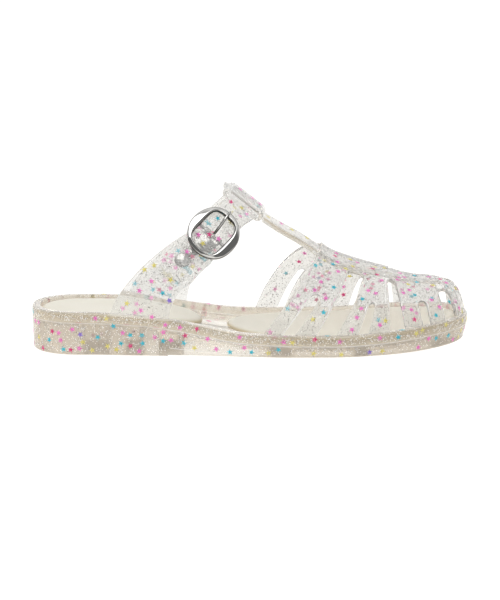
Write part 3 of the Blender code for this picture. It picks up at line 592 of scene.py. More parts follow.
@dataclass
class Shell:
    """Points in millimetres with their faces, kept as arrays until they become a mesh."""

    points: Array
    faces: list[tuple[int, ...]]

    def outwards(self) -> "Shell":
        """The shell with its faces turned outwards, told by the sign of the volume they enclose.

        Returns:
            The same shell, or one with every face turned round.
        """
        fans = [(face[0], face[step], face[step + 1])
                for face in self.faces for step in range(1, len(face) - 1)]
        corner = self.points[np.array(fans)]
        if np.einsum("ij,ij->", corner[:, 0], np.cross(corner[:, 1], corner[:, 2])) < 0:
            return Shell(self.points, [face[::-1] for face in self.faces])
        return self

    def joined(self, other: "Shell") -> "Shell":
        """Both shells side by side in one."""
        first = len(self.points)
        moved = [tuple(index + first for index in face) for face in other.faces]
        return Shell(np.concatenate([self.points, other.points]), self.faces + moved)


class Carving(Enum):
    """What helper solids do to a piece."""

    JOIN = "UNION"
    CUT = "DIFFERENCE"


class Mould:
    """Turns shells into Blender objects in the frame of the CAD model."""

    def __init__(self, origin: Array) -> None:
        """Keep the CAD frame's origin, in shoe millimetres."""
        self.origin = origin

    def row(self, points: Array) -> Array:
        """Shoe millimetres as metres in the CAD frame."""
        return (np.asarray(points, float) - self.origin) * MM

    def vertices(self, item: Item) -> Array:
        """Vertices of a piece in shoe millimetres."""
        flat = np.empty(3 * len(item.data.vertices), np.float32)
        item.data.vertices.foreach_get("co", flat)
        return flat.reshape(-1, 3) / MM + self.origin

    def piece(self, name: str, shell: Shell) -> Item:
        """Object of one shell.

        Args:
            name: Name of the object.
            shell: Points and faces.

        Returns:
            The linked object.
        """
        mesh = bpy.data.meshes.new(name)
        mesh.from_pydata(self.row(shell.points), [], shell.faces)
        mesh.validate()
        return new_object(name, mesh)

    def carved(self, item: Item, others: Sequence[Item], carving: Carving,
               crease: float) -> None:
        """Join or cut an object with helper solids and keep the result as its own mesh.

        Args:
            item: Object that keeps its name.
            others: Helper solids, which are removed afterwards.
            carving: Whether they are joined to it or cut from it.
            crease: Angle in degrees from which an edge shades sharp.
        """
        for other in others:
            step = item.modifiers.new(other.name, "BOOLEAN")
            step.operation = carving.value
            step.solver = "MANIFOLD"
            step.object = other
        graph = bpy.context.evaluated_depsgraph_get()
        made = bpy.data.meshes.new_from_object(item.evaluated_get(graph))
        item.modifiers.clear()
        item.data = made
        for other in others:
            bpy.data.objects.remove(other)
        self.smooth(item, crease)

    @staticmethod
    def smooth(item: Item, crease: float) -> None:
        """Shade smooth up to an angle in degrees."""
        item.data.shade_smooth()
        item.data.set_sharp_from_angle(angle=math.radians(crease))


def both_sides(x: Array, half: Array) -> Array:
    """Closed outline about the sole's middle line, outer side from heel to toe and inner side back.

    Args:
        x: Places along the foot, from heel to toe.
        half: Half width at each place.

    Returns:
        Points as x and y.
    """
    middle = SOLE_SIZES.at("middle", x)
    outer = np.stack([x, middle - half], axis=1)
    inner = np.stack([x, middle + half], axis=1)
    return np.concatenate([outer, inner[-2:0:-1]])


@dataclass(frozen=True)
class SoleForm:
    """Outline and heights of the sole that the other pieces are measured from."""

    length: float = 260.0
    heel_cap: float = 31.0
    toe_cap: float = 75.0
    heel_round: float = 2.2
    toe_round: float = 2.28
    band_width: float = 5.0
    band_height: float = 6.0
    footbed_drop: float = 4.0
    seat_gap: float = 0.3

    def half_width(self, x: Array, inset: Array, heel_inset: float, toe_inset: float) -> Array:
        """Half width moved in by an inset, with a superellipse for the heel and one for the toe.

        Args:
            x: Places along the foot.
            inset: How far the outline lies inside the rim.
            heel_inset: Inset at the heel's end.
            toe_inset: Inset at the toe's end.

        Returns:
            Half widths at those places.
        """
        heel = np.clip((self.heel_cap - x) / (self.heel_cap - heel_inset), 0.0, 1.0)
        toe = np.clip((x - self.length + self.toe_cap) / (self.toe_cap - toe_inset), 0.0, 1.0)
        ends = ((1.0 - heel ** self.heel_round) ** (1.0 / self.heel_round)
                * (1.0 - toe ** self.toe_round) ** (1.0 / self.toe_round))
        return (SOLE_SIZES.at("half", x) - inset) * ends

    def place(self, turn: Array, heel_inset: float, toe_inset: float) -> Array:
        """Place along the foot for a turn from 0 at the heel to 1 at the toe, by a cosine."""
        run = self.length - heel_inset - toe_inset
        return heel_inset + run * (1.0 - np.cos(np.pi * turn)) / 2.0

    def turn(self, x: Array, inset: float) -> Array:
        """Turn whose place on the inset outline is x."""
        run = self.length - 2.0 * inset
        return np.arccos(1.0 - 2.0 * (np.asarray(x, float) - inset) / run) / np.pi

    def outline(self, turns: Array, inset: Array) -> Array:
        """Closed outline, outer side from heel to toe and inner side back.

        Args:
            turns: Turns from 0 at the heel to 1 at the toe.
            inset: Inset, one value or one for each turn.

        Returns:
            Points as x and y.
        """
        inset = np.broadcast_to(np.asarray(inset, float), turns.shape)
        x = self.place(turns, inset[0], inset[-1])
        return both_sides(x, self.half_width(x, inset, inset[0], inset[-1]))

    def layer(self, turns: Array, inset: Array, height: Callable[[Array], Array], rise: Array = 0.0) -> Array:
        """Outline at an inset, each point at the height for its place plus a rise."""
        flat = self.outline(turns, inset)
        return np.column_stack([flat, height(flat[:, 0]) + rise])

    def rim(self, x: Array) -> Array:
        """Top of the rim."""
        return SOLE_SIZES.at("rim", x)

    def floor(self, x: Array) -> Array:
        """Underside of the sole."""
        return SOLE_SIZES.at("floor", x)

    def ledge(self, x: Array) -> Array:
        """Ledge that carries the base band."""
        return self.rim(x) - self.band_height - self.seat_gap

    def footbed(self, x: Array) -> Array:
        """Top of the sole inside the base band."""
        return self.rim(x) - self.footbed_drop

    def origin(self) -> Array:
        """Middle of the sole on the floor, where the CAD frame has its origin."""
        side = self.outline(np.linspace(0.0, 1.0, 401), 0.0)[:, 1]
        return np.array([self.length / 2.0, (side.min() + side.max()) / 2.0, 0.0])


def across_faces(first: int, half_count: int) -> list[tuple[int, ...]]:
    """Faces straight across a closed outline, from its outer to its inner side.

    Args:
        first: Number of the outline's first point.
        half_count: Points from heel to toe.

    Returns:
        Quads with a triangle at each end.
    """
    total = 2 * half_count - 2
    index = np.arange(1, half_count - 2)
    quads = first + np.stack([index, index + 1, total - index - 1, total - index], axis=1)
    last = half_count - 2
    ends = [(first, first + 1, first + total - 1), (first + last, first + last + 1, first + last + 2)]
    return ends + [tuple(quad) for quad in quads.tolist()]


def stacked(layers: Sequence[Array]) -> Shell:
    """Closed shell through outlines stacked upwards, flat across the lowest and the highest.

    Args:
        layers: Outlines from the lowest to the highest, with as many points each.

    Returns:
        Closed shell.
    """
    size = len(layers[0])
    half_count = size // 2 + 1
    faces = [tuple(quad) for quad in grid_quads(len(layers), size, False, True).tolist()]
    faces += [face[::-1] for face in across_faces(0, half_count)]
    faces += across_faces((len(layers) - 1) * size, half_count)
    return Shell(np.concatenate(layers), faces).outwards()


def swept(loops: Array, closed: bool = False) -> Shell:
    """Closed shell through section loops, with flat caps where the row of loops is open.

    Args:
        loops: Array of loops, each an array of points.
        closed: Whether the last loop joins the first.

    Returns:
        The shell.
    """
    count, size = loops.shape[:2]
    faces = [tuple(quad) for quad in grid_quads(count, size, closed, True).tolist()]
    if not closed:
        faces.append(tuple(range(size - 1, -1, -1)))
        faces.append(tuple(range((count - 1) * size, count * size)))
    return Shell(loops.reshape(-1, 3), faces).outwards()


def rounded_section(half: Array, wall: float, ease: float, steps: int = 5) -> tuple[Array, Array]:
    """Flat strap section: a rectangle whose four corners are quarter circles.

    Args:
        half: Half width at each station.
        wall: Thickness.
        ease: Corner radius.
        steps: Points in each corner.

    Returns:
        Sides and heights, stations by points; heights start at 0.
    """
    angle = np.linspace(0.0, np.pi / 2.0, steps)
    turn = np.concatenate([angle + quarter * np.pi / 2.0 for quarter in range(4)])
    to_side = np.repeat([1.0, -1.0, -1.0, 1.0], steps)
    to_top = np.repeat([1.0, 1.0, -1.0, -1.0], steps)
    half = np.asarray(half, float)[:, None]
    sides = to_side * (half - ease) + ease * np.cos(turn)
    heights = wall / 2.0 + to_top * (wall / 2.0 - ease) + ease * np.sin(turn)
    return sides, np.broadcast_to(heights, sides.shape)


class StrapPath:
    """Arch of the instep strap: a point from a run along it, a shift across it and a height over it."""

    buckle_girth: float = 5.68
    keeper_girth: float = 7.92
    bar_reach: float = 6.0
    reach: float = 1.5

    def __init__(self) -> None:
        """Measure the run along the arch from the buckle's bar."""
        self.girth = np.linspace(ARCH.place[0], ARCH.place[-1], 281)
        rear, front = self.edges(self.girth)
        run = run_along((rear + front) / 2.0)
        self.run = run - np.interp(self.buckle_girth, self.girth, run)

    def edges(self, girth: Array) -> tuple[Array, Array]:
        """Rear and front edge of the arch at a girth."""
        rear = np.stack([ARCH.at("rear_" + axis, girth) for axis in "xyz"], axis=-1)
        front = np.stack([ARCH.at("front_" + axis, girth) for axis in "xyz"], axis=-1)
        return rear, front

    def along(self, girth: float) -> float:
        """Run from the buckle at a girth."""
        return float(np.interp(girth, self.girth, self.run))

    def middle(self, along: Array) -> Array:
        """Middle line of the arch."""
        return sum(self.edges(np.interp(along, self.run, self.girth))) / 2.0

    def axes(self, along: Array) -> tuple[Array, Array, Array]:
        """Direction across, direction outwards and width of the arch at each run."""
        rear, front = self.edges(np.interp(along, self.run, self.girth))
        ahead = self.middle(along + self.reach) - self.middle(along - self.reach)
        across = unit(front - rear)
        return across, unit(np.cross(across, ahead)), np.linalg.norm(front - rear, axis=-1)

    def point(self, along: Array, shift: Array, height: Array) -> Array:
        """Middle point plus shift times across plus height times outwards."""
        along, shift, height = np.broadcast_arrays(np.asarray(along, float), shift, height)
        across, out, _ = self.axes(along)
        return self.middle(along) + across * shift[..., None] + out * height[..., None]


@dataclass
class Sole:
    """Clear sole: side wall with tuck and waist rebate, footbed and the moulded cells underneath."""

    form: SoleForm
    mould: Mould
    foot_ease: float = 1.2
    foot_share: float = 0.75
    step_below: float = 0.3
    step_in: float = 0.12
    step_above: float = 0.25
    wall_shares: tuple[float, ...] = (0.06, 0.15, 0.27, 0.39, 0.51, 0.63, 0.75, 0.88, 0.95, 1.0)
    bed_edge: tuple[tuple[float, float], ...] = ((0.0, 0.5), (0.15, 0.15), (0.5, 0.0))
    seat_overlap: float = 0.04
    wall: float = 4.6
    floor_wall: float = 4.5
    cell_rib: float = 2.6
    cell_corner: float = 3.2
    cell_low: float = -2.0
    cell_least: float = 0.2
    cell_roof: tuple[tuple[float, float], ...] = ((0.0, 1.8), (0.3, 0.8), (0.8, 0.3), (1.8, 0.0))
    recess_clear: float = 0.4
    recess_fade: float = 0.4
    line_lift: float = 0.2
    # Painted highlight: thin milky, untinted lines along the rebate's top and along the seam under the band.
    highlight_core: float = 1.5
    rebate_highlight: float = 0.3
    seam_highlight: float = 0.6
    highlight_haze: float = 0.85
    tread_height: float = 0.4
    tread_fade: float = 0.3
    crease: float = 34.0
    turns: int = 181
    breast_gap: float = 0.4

    def spread_turns(self) -> Array:
        """Turns along the sole with a close pair at the upright heel breast."""
        turns = np.linspace(0.0, 1.0, self.turns)
        breast = self.form.turn(np.array([BREAST, BREAST + BREAST_STEP]), 0.0)
        keep = np.abs(turns - breast.mean()) > self.breast_gap / self.turns
        return np.sort(np.append(turns[keep], breast))

    def body(self) -> Shell:
        """Outline carried up the wall: eased foot, rebate, tucked side, ledge and footbed.

        Returns:
            Closed shell.
        """
        form = self.form
        turns = self.spread_turns()
        x = form.place(turns, 0.0, 0.0)
        tuck = SOLE_SIZES.at("tuck", x)
        foot = tuck + REBATE.at("inset", x)
        step = REBATE.at("height", x)
        step = np.concatenate([step, step[-2:0:-1]])
        ease = self.foot_ease
        layers = []
        for angle in np.linspace(0.0, np.pi / 2.0, 5):
            layers.append(form.layer(turns, foot + ease * (1.0 - math.sin(angle)), form.floor,
                                     np.minimum(ease * (1.0 - math.cos(angle)), step * self.foot_share)))
        layers.append(form.layer(turns, foot, form.floor, step - self.step_below))
        layers.append(form.layer(turns, tuck + self.step_in, form.floor, step))
        layers.append(form.layer(turns, tuck, form.floor, step + self.step_above))
        seat = form.seat_gap + self.seat_overlap
        for share in self.wall_shares:
            flat = form.outline(turns, tuck * (1.0 - share))
            low = form.floor(flat[:, 0]) + step + self.step_above
            high = form.ledge(flat[:, 0]) + seat
            layers.append(np.column_stack([flat, low + (high - low) * share]))
        inner = form.band_width + form.seat_gap
        layers.append(form.layer(turns, inner, form.ledge, seat))
        layers += [form.layer(turns, inner + run, form.footbed, -fall) for run, fall in self.bed_edge]
        return stacked(layers)

    def cell_outline(self, start: float, end: float, side: int, inset: float) -> Array:
        """Closed outline of one cell: it follows the wall and has rounded corners.

        Args:
            start: Rear end.
            end: Front end.
            side: -1 on the outer side and 1 on the inner.
            inset: How far the outline is drawn in all round.

        Returns:
            Points as x and y.
        """
        corner = self.cell_corner
        x = np.linspace(start + inset, end - inset, 41)
        wall = self.form.half_width(x, self.wall + inset, self.wall, self.wall)
        wall = wall + SOLE_SIZES.at("middle", x) * side
        near = np.minimum(x - x[0], x[-1] - x)
        drop = corner - np.sqrt(np.maximum(corner ** 2 - np.maximum(corner - near, 0.0) ** 2, 0.0))
        rib = self.cell_rib + inset
        far = np.stack([x, np.maximum(wall - drop, rib + drop + self.cell_least)], axis=1)
        near_rib = np.stack([x[::-1], (rib + drop)[::-1]], axis=1)
        return np.concatenate([far, near_rib]) * (1.0, side)

    def cells(self) -> list[Shell]:
        """Cutters for the cells, each with a fillet under its roof.

        Returns:
            One closed shell for each cell.
        """
        cutters = []
        for start, end in zip(CELLS.place, CELLS.values["end"]):
            ends = self.form.footbed(np.array([start, end])) - self.floor_wall
            for side in (-1, 1):
                mouth = self.cell_outline(start, end, side, 0.0)
                loops = [np.column_stack([mouth, np.full(len(mouth), self.cell_low)])]
                for inset, drop in self.cell_roof:
                    flat = self.cell_outline(start, end, side, inset)
                    loops.append(np.column_stack([flat, np.interp(flat[:, 0], [start, end], ends) - drop]))
                cutters.append(swept(np.stack(loops)))
        return cutters

    def shares(self, points: Array) -> tuple[Array, Array]:
        """How warm and how milky the moulding looks: painted highlight lines at seam and rebate, a textured
        tread.

        Args:
            points: Points of the sole.

        Returns:
            Share of thick and warm plastic, and share of milky plastic, which holds the textured tread and
            the painted highlight lines, 0 to 1.
        """
        x, _, z = points.T
        rise = z - self.form.floor(x)
        above = rise - REBATE.at("height", x) - self.line_lift
        set_in = np.clip(REBATE.at("inset", x), 0.0, 1.0)
        recess = set_in * np.clip(-above / self.recess_fade, 0.0, 1.0)
        seam = z - self.form.ledge(x) - self.form.seat_gap - self.seat_overlap
        # Painted highlight: thin lines at the rebate's top and the band seam, made milky and untinted.
        lines = np.maximum(set_in * np.clip(self.highlight_core - np.abs(above) / self.rebate_highlight, 0.0, 1.0),
                           np.clip(self.highlight_core - np.abs(seam) / self.seam_highlight, 0.0, 1.0))
        tread = np.clip((self.tread_height - rise) / self.tread_fade, 0.0, 1.0)
        thick = WAIST.at("thick", x) * (1.0 - self.recess_clear * recess) * (1.0 - lines)
        return thick, np.maximum(tread, self.highlight_haze * lines)

    def build(self, finish: ClearPvc) -> Item:
        """Build and dress the sole.

        Args:
            finish: Its material.

        Returns:
            The piece that stands for the CAD sole.
        """
        item = self.mould.piece("sole_moulding", self.body())
        cutters = [self.mould.piece(f"cell_{number}", shell) for number, shell in enumerate(self.cells())]
        self.mould.carved(item, cutters, Carving.CUT, self.crease)
        finish.coat(item, *self.shares(self.mould.vertices(item)))
        return settle(item, "sole")


@dataclass
class Vamp:
    """Curved wall of the toe: finger groups of both sides and the toe band, cut from one sheet."""

    form: SoleForm
    wall: float = 2.4
    root_depth: float = 3.6
    flat_length: float = 310.0
    flat_girth: float = 62.0
    edge_round: float = 0.75
    edge_steps: tuple[float, ...] = (0.12, 0.45, 1.0)
    edge_least: float = 0.02
    spacing: float = 2.2
    spacing_slack: float = 0.4
    cap_points: int = 15

    def point(self, turn: Array, cross: Array) -> Array:
        """Point of the middle wall: a quarter wave from the base band up to the top line.

        Height follows the sine of the rise, side follows one minus a power of its cosine, and the place
        along the foot follows a blend of both.

        Args:
            turn: Turn along the base band.
            cross: From -1 at the outer base over 0 at the top line to 1 at the inner base.

        Returns:
            Points in shoe millimetres.
        """
        inset = self.form.band_width / 2.0
        inner = cross > 0
        base = self.form.place(turn, inset, inset)
        place = np.clip(base, RIBS.place[0], RIBS.place[-1])
        base = base + np.where(inner, RIBS.at("inner_shift", place), 0.0)
        side = np.where(inner, 1.0, -1.0)
        base_y = SOLE_SIZES.at("middle", base) + side * self.form.half_width(base, inset, inset, inset)
        base_z = self.form.rim(base) - self.root_depth
        top = RIBS.at("top", place)
        top_y = RIDGE.at("side", top)
        top_z = RIDGE.at("height", top) - self.wall / 2.0
        angle = (1.0 - np.abs(cross)) * np.pi / 2.0
        rise = np.sin(angle)
        fall = np.where(inner, RIBS.at("inner_fall", place), RIBS.at("outer_fall", place))
        bulge = 1.0 - np.clip(np.cos(angle), 0.0, 1.0) ** fall
        lean = np.where(inner, RIBS.at("inner_lean", place), RIBS.at("lean", place))
        x = base + (top - base) * (lean * rise + (1.0 - lean) * bulge)
        y = base_y + (top_y - base_y) * bulge
        z = base_z + (top_z - base_z) * rise
        return np.stack([x, y, z], axis=-1)

    def surface(self, flat: Array) -> Array:
        """Point of the middle wall for a point of the flat sheet."""
        return self.point(flat[:, 0] / self.flat_length, flat[:, 1] / self.flat_girth)

    def opening(self, start: float, end: float, reach: float) -> Array:
        """Edge of one opening in the flat sheet: up one side, a half circle, down the other.

        Args:
            start: Place of its rear side on the base line.
            end: Place of its front side on the base line.
            reach: How far it rises, as a share of the way to the top line.

        Returns:
            Points of the flat sheet.
        """
        inset = self.form.band_width / 2.0
        left, right = self.form.turn(np.array([start, end]), inset) * self.flat_length
        radius = (right - left) / 2.0
        top = (reach - 1.0) * self.flat_girth
        count = max(3, int(reach * self.flat_girth / self.spacing))
        rows = np.linspace(-self.flat_girth, top - radius, count)
        angle = np.linspace(np.pi, 0.0, self.cap_points)[1:-1]
        cap = radius * np.stack([np.cos(angle), np.sin(angle)], axis=1) + (left + radius, top - radius)
        up = np.stack([np.full(len(rows), left), rows], axis=1)
        down = np.stack([np.full(len(rows), right), rows[::-1]], axis=1)
        return np.concatenate([up, cap, down])

    def run(self, first: Array, last: Array) -> Array:
        """Evenly spaced points between two ends, without the ends."""
        count = max(2, int(np.linalg.norm(last - first) / self.spacing))
        return first + (last - first) * np.linspace(0.0, 1.0, count + 1)[1:-1, None]

    def base_line(self, openings: Table) -> Array:
        """Base line from the rear corner to the toe, round every opening.

        Args:
            openings: The openings of one side.

        Returns:
            Points of the flat sheet.
        """
        rear = float(self.form.turn(RIBS.place[0], self.form.band_width / 2.0)) * self.flat_length
        line = [np.array([[rear, -self.flat_girth]])]
        for start, end, reach in zip(openings.place, openings.values["end"], openings.values["reach"]):
            edge = self.opening(start, end, reach)
            line += [self.run(line[-1][-1], edge[0]), edge]
        toe = np.array([[self.flat_length, -self.flat_girth]])
        line += [self.run(line[-1][-1], toe[0]), toe]
        return np.concatenate(line)

    def boundary(self) -> tuple[Array, Array]:
        """Closed boundary of the flat sheet, and which of its points lie on the toe's folded seam.

        Returns:
            The boundary's points, and True for each one on the seam.
        """
        outer = self.base_line(OUTER_OPENINGS)
        inner = self.base_line(INNER_OPENINGS) * (1.0, -1.0)
        seam = self.run(outer[-1], inner[-1])
        throat = self.run(inner[0], outer[0])
        loop = np.concatenate([outer, seam, inner[::-1], throat])
        on_seam = np.zeros(len(loop), bool)
        on_seam[len(outer) - 1:len(outer) + len(seam) + 1] = True
        return loop, on_seam

    def clearance(self, flat: Array, loop: Array, on_seam: Array) -> Array:
        """Distance of flat points to the sheet's free edges, below zero outside the sheet.

        Args:
            flat: Points of the flat sheet.
            loop: Closed boundary.
            on_seam: Which boundary points lie on the seam, which is no free edge.

        Returns:
            Signed distances.
        """
        after = np.roll(loop, -1, axis=0)
        run = after - loop
        gap = flat[:, None, :] - loop[None]
        share = np.clip(np.sum(gap * run, axis=2) / np.maximum(np.sum(run * run, axis=1), 1e-9), 0.0, 1.0)
        off = np.linalg.norm(gap - share[..., None] * run, axis=2)
        free = ~(on_seam & np.roll(on_seam, -1))
        near = off[:, free].min(axis=1)
        spans = (loop[None, :, 1] > flat[:, None, 1]) != (after[None, :, 1] > flat[:, None, 1])
        slope = np.where(spans, run[None, :, 0] / np.where(run[:, 1] == 0, 1.0, run[:, 1])[None], 0.0)
        reach = loop[None, :, 0] + (flat[:, None, 1] - loop[None, :, 1]) * slope
        inside = np.sum(spans & (flat[:, None, 0] < reach), axis=1) % 2 == 1
        return np.where(inside, near, -near)

    def rings(self, loop: Array, on_seam: Array) -> list[Array]:
        """Boundary drawn in by the steps of the rounded edge, along the mean normal of its two sides.

        Args:
            loop: Closed boundary.
            on_seam: Which of its points lie on the seam.

        Returns:
            One loop for each step.
        """
        before = loop - np.roll(loop, 1, axis=0)
        after = np.roll(loop, -1, axis=0) - loop
        ahead = unit(before) + unit(after)
        inwards = unit(np.stack([-ahead[:, 1], ahead[:, 0]], axis=1))
        inwards[on_seam] *= (0.0, 1.0)
        return [loop + inwards * self.edge_round * step for step in self.edge_steps]

    def sheet(self) -> tuple[Array, Array, Array]:
        """Triangulated flat sheet.

        Returns:
            Flat points, triangles and each point's distance to the free edge.
        """
        loop, on_seam = self.boundary()
        rings = [ring[~on_seam] for ring in self.rings(loop, on_seam)]
        low = loop.min(axis=0)
        high = loop.max(axis=0)
        grid = np.stack(np.meshgrid(np.arange(low[0], high[0], self.spacing),
                                    np.arange(low[1], high[1], self.spacing)), axis=-1).reshape(-1, 2)
        slack = self.spacing * self.spacing_slack
        grid = grid[self.clearance(grid, loop, on_seam) > self.edge_round + slack]
        grid = grid[grid[:, 0] < high[0] - slack]
        extra = np.concatenate([*rings, grid])
        extra = extra[self.clearance(extra, loop, on_seam) > self.edge_least]
        flat = np.concatenate([loop, extra])
        corners = [Vector(point) for point in flat]
        made = delaunay_2d_cdt(corners, [], [list(range(len(loop)))], 1, 1e-4)
        points = np.array(made[0])
        return points, np.array(made[2]), np.maximum(self.clearance(points, loop, on_seam), 0.0)

    def shell(self) -> Shell:
        """Both sides of the sheet, its free edges rounded by quarter circles.

        Half the wall at distance d from the edge is wall/2 - r + sqrt(r^2 - (r - d)^2), with r the edge's
        radius, and wall/2 further in.

        Returns:
            Closed shell.
        """
        flat, faces, edge = self.sheet()
        points = self.surface(flat)
        _, first, back = np.unique(np.round(points, 3), axis=0, return_index=True, return_inverse=True)
        points = points[first]
        faces = back.reshape(-1)[faces]
        faces = faces[np.all(faces != np.roll(faces, -1, axis=1), axis=1)]
        edge = np.minimum(edge[first], self.edge_round)
        corners = points[faces]
        face_normal = np.cross(corners[:, 1] - corners[:, 0], corners[:, 2] - corners[:, 0])
        normal = np.zeros_like(points)
        for corner in range(3):
            np.add.at(normal, faces[:, corner], face_normal)
        normal = unit(normal)
        r = self.edge_round
        half = self.wall / 2.0 - r + np.sqrt(np.maximum(r * r - (r - edge) ** 2, 0.0))
        count = len(points)
        lines = np.concatenate([faces[:, [0, 1]], faces[:, [1, 2]], faces[:, [2, 0]]])
        _, number, uses = np.unique(np.sort(lines, axis=1), axis=0, return_inverse=True, return_counts=True)
        free = lines[uses[number.reshape(-1)] == 1]
        rim = np.stack([free[:, 0], free[:, 0] + count, free[:, 1] + count, free[:, 1]], axis=1)
        solid = faces.tolist() + (faces[:, ::-1] + count).tolist() + rim.tolist()
        both = np.concatenate([points + normal * half[:, None], points - normal * half[:, None]])
        return Shell(both, [tuple(face) for face in solid]).outwards()


@dataclass
class Upper:
    """Clear upper: base band, vamp, T-bar, keeper and both straps moulded as one."""

    form: SoleForm
    path: StrapPath
    mould: Mould
    vamp: Vamp
    band_round: float = 1.3
    strap_wall: float = 2.2
    instep_wall: float = 2.0
    spine_wall: float = 3.0
    spine_ease: float = 0.85
    strap_ease: float = 0.65
    strap_width: float = 21.2
    quarter_half: float = 9.2
    quarter_flare: float = 0.3
    quarter_end: float = -3.6
    quarter_narrow: float = 1.6
    quarter_round: float = 4.4
    widen_start: float = 10.0
    widen_run: float = 60.0
    keeper_length: float = 14.0
    keeper_wall: float = 2.3
    keeper_ease: float = 0.8
    keeper_play: float = 0.5
    keeper_side: float = 0.9
    keeper_margin: float = 0.3
    keeper_tall: float = 7.0
    keeper_haze: float = 0.5
    lip_root: float = 1.2
    lip_reach: float = 5.0
    lip_level: float = 1.0
    lip_rise: float = 0.5
    lip_narrow: float = 0.55
    lip_tall: float = 2.0
    lip_thin: float = 1.4
    lip_taper: float = 1.5
    lip_inset: float = 1.0
    band_above: float = 0.9
    band_depth: float = 2.8
    band_fade: float = 1.4
    band_top: float = 0.3
    band_top_fade: float = 0.9
    bar_end: float = 0.1
    bar_side: float = 0.2
    bar_level: float = 0.3
    bar_edge: float = 0.9
    bar_edge_fade: float = 0.6
    bar_haze: float = 0.4
    bar_warmth: float = 0.8
    hole_place: float = 4.3
    hole_half: float = 4.3
    hole_across: float = 1.7
    hole_levels: tuple[float, float] = (1.6, 8.0)
    crease: float = 34.0

    def band(self) -> Shell:
        """Bar with two rounded top edges carried round the outline of the sole.

        Returns:
            Closed shell.
        """
        form = self.form
        angle = np.linspace(0.0, np.pi / 2.0, 7)
        side = self.band_round * (1.0 - np.cos(angle))
        fall = self.band_round * (np.sin(angle) - 1.0)
        insets = np.concatenate([[0.0], side, form.band_width - side[::-1], [form.band_width]])
        drops = np.concatenate([[-form.band_height], fall, fall[::-1], [-form.band_height]])
        turns = np.linspace(0.0, 1.0, 201)
        rails = [form.layer(turns, inset, form.rim, drop) for inset, drop in zip(insets, drops)]
        return swept(np.stack(rails, axis=1), closed=True)

    def strip(self, table: Table, count: int) -> Shell:
        """Strap section carried along the top line, rolled and shifted as a table says.

        Args:
            table: Shift, roll, width and lift along the foot.
            count: Number of sections.

        Returns:
            Closed shell.
        """
        x = np.linspace(table.place[0], table.place[-1], count)
        centre = np.stack([x, RIDGE.at("side", x), RIDGE.at("height", x)], axis=1)
        slope = np.arctan2(RIDGE.at("height", x + 1.0) - RIDGE.at("height", x - 1.0), 2.0)
        roll = np.radians(table.at("roll", x))
        across = np.stack([np.zeros(count), np.cos(roll), np.sin(roll)], axis=1)
        up = np.stack([-np.sin(slope), -np.cos(slope) * np.sin(roll), np.cos(slope) * np.cos(roll)], axis=1)
        sides, heights = rounded_section(table.at("width", x) / 2.0, self.spine_wall, self.spine_ease)
        low = table.at("lift", x) - self.spine_wall / 2.0 - self.vamp.wall / 2.0
        middle = centre + across * table.at("shift", x)[:, None]
        loops = (middle[:, None] + across[:, None] * sides[..., None]
                 + up[:, None] * (heights + low[:, None])[..., None])
        return swept(loops)

    def outer_half(self, along: Array) -> Array:
        """Half width of the outer quarter strap: the arch's own, narrowed to a round end at the bar."""
        _, _, width = self.path.axes(along)
        left = self.quarter_end - along
        half = np.minimum(width / 2.0, self.quarter_half + self.quarter_flare * np.maximum(0.0, left))
        return half - self.quarter_narrow * np.clip(1.0 - left / self.quarter_round, 0.0, 1.0) ** 2

    def outer_strap(self) -> Shell:
        """Strap section carried from the outer base up to the buckle's bar."""
        along = np.linspace(self.path.along(0.0), self.quarter_end, 70)
        sides, heights = rounded_section(self.outer_half(along), self.strap_wall, self.strap_ease)
        return swept(self.path.point(along[:, None], sides, heights))

    def instep_half(self, along: Array) -> Array:
        """Half width of the instep strap: the table's to the keeper, then the arch's own."""
        _, _, width = self.path.axes(along)
        half = INSTEP_STRAP.at("half", along)
        past = along - self.path.along(self.path.keeper_girth) - self.widen_start
        return half + np.clip(past / self.widen_run, 0.0, 1.0) * (width / 2.0 - half)

    def instep_strap(self) -> Shell:
        """Strap section carried from the free end through buckle and keeper to the inner base.

        Returns:
            Closed shell.
        """
        along = np.linspace(INSTEP_STRAP.place[0], self.path.along(ARCH.place[-1]), 210)
        sides, heights = rounded_section(self.instep_half(along), self.instep_wall, self.strap_ease)
        shift = INSTEP_STRAP.at("shift", along)[:, None]
        level = INSTEP_STRAP.at("level", along)[:, None]
        return swept(self.path.point(along[:, None], sides + shift, heights + level))

    def keeper(self) -> Shell:
        """Flat loop with round ends carried along the strap, its section a rounded wall.

        Returns:
            Closed shell.
        """
        centre = self.path.along(self.path.keeper_girth)
        low = -self.keeper_play - self.keeper_wall / 2.0
        high = self.instep_wall + self.keeper_play + self.keeper_wall / 2.0
        radius = (high - low) / 2.0
        right = (self.strap_width + self.keeper_wall) / 2.0 + self.keeper_play + self.keeper_side - radius
        angle = np.linspace(-np.pi / 2.0, np.pi / 2.0, 13)
        round_side = np.concatenate([np.cos(angle), -np.cos(angle)])
        round_up = np.concatenate([np.sin(angle), -np.sin(angle)])
        straight = np.repeat([right, -right], len(angle))
        sides, heights = rounded_section(np.array([self.keeper_length / 2.0]), self.keeper_wall,
                                         self.keeper_ease)
        along = centre + sides[0][None, :]
        swell = heights[0][None, :] - self.keeper_wall / 2.0
        shift = straight[:, None] + round_side[:, None] * (radius + swell)
        height = (high + low) / 2.0 + round_up[:, None] * (radius + swell)
        return swept(self.path.point(along, shift, height), closed=True)

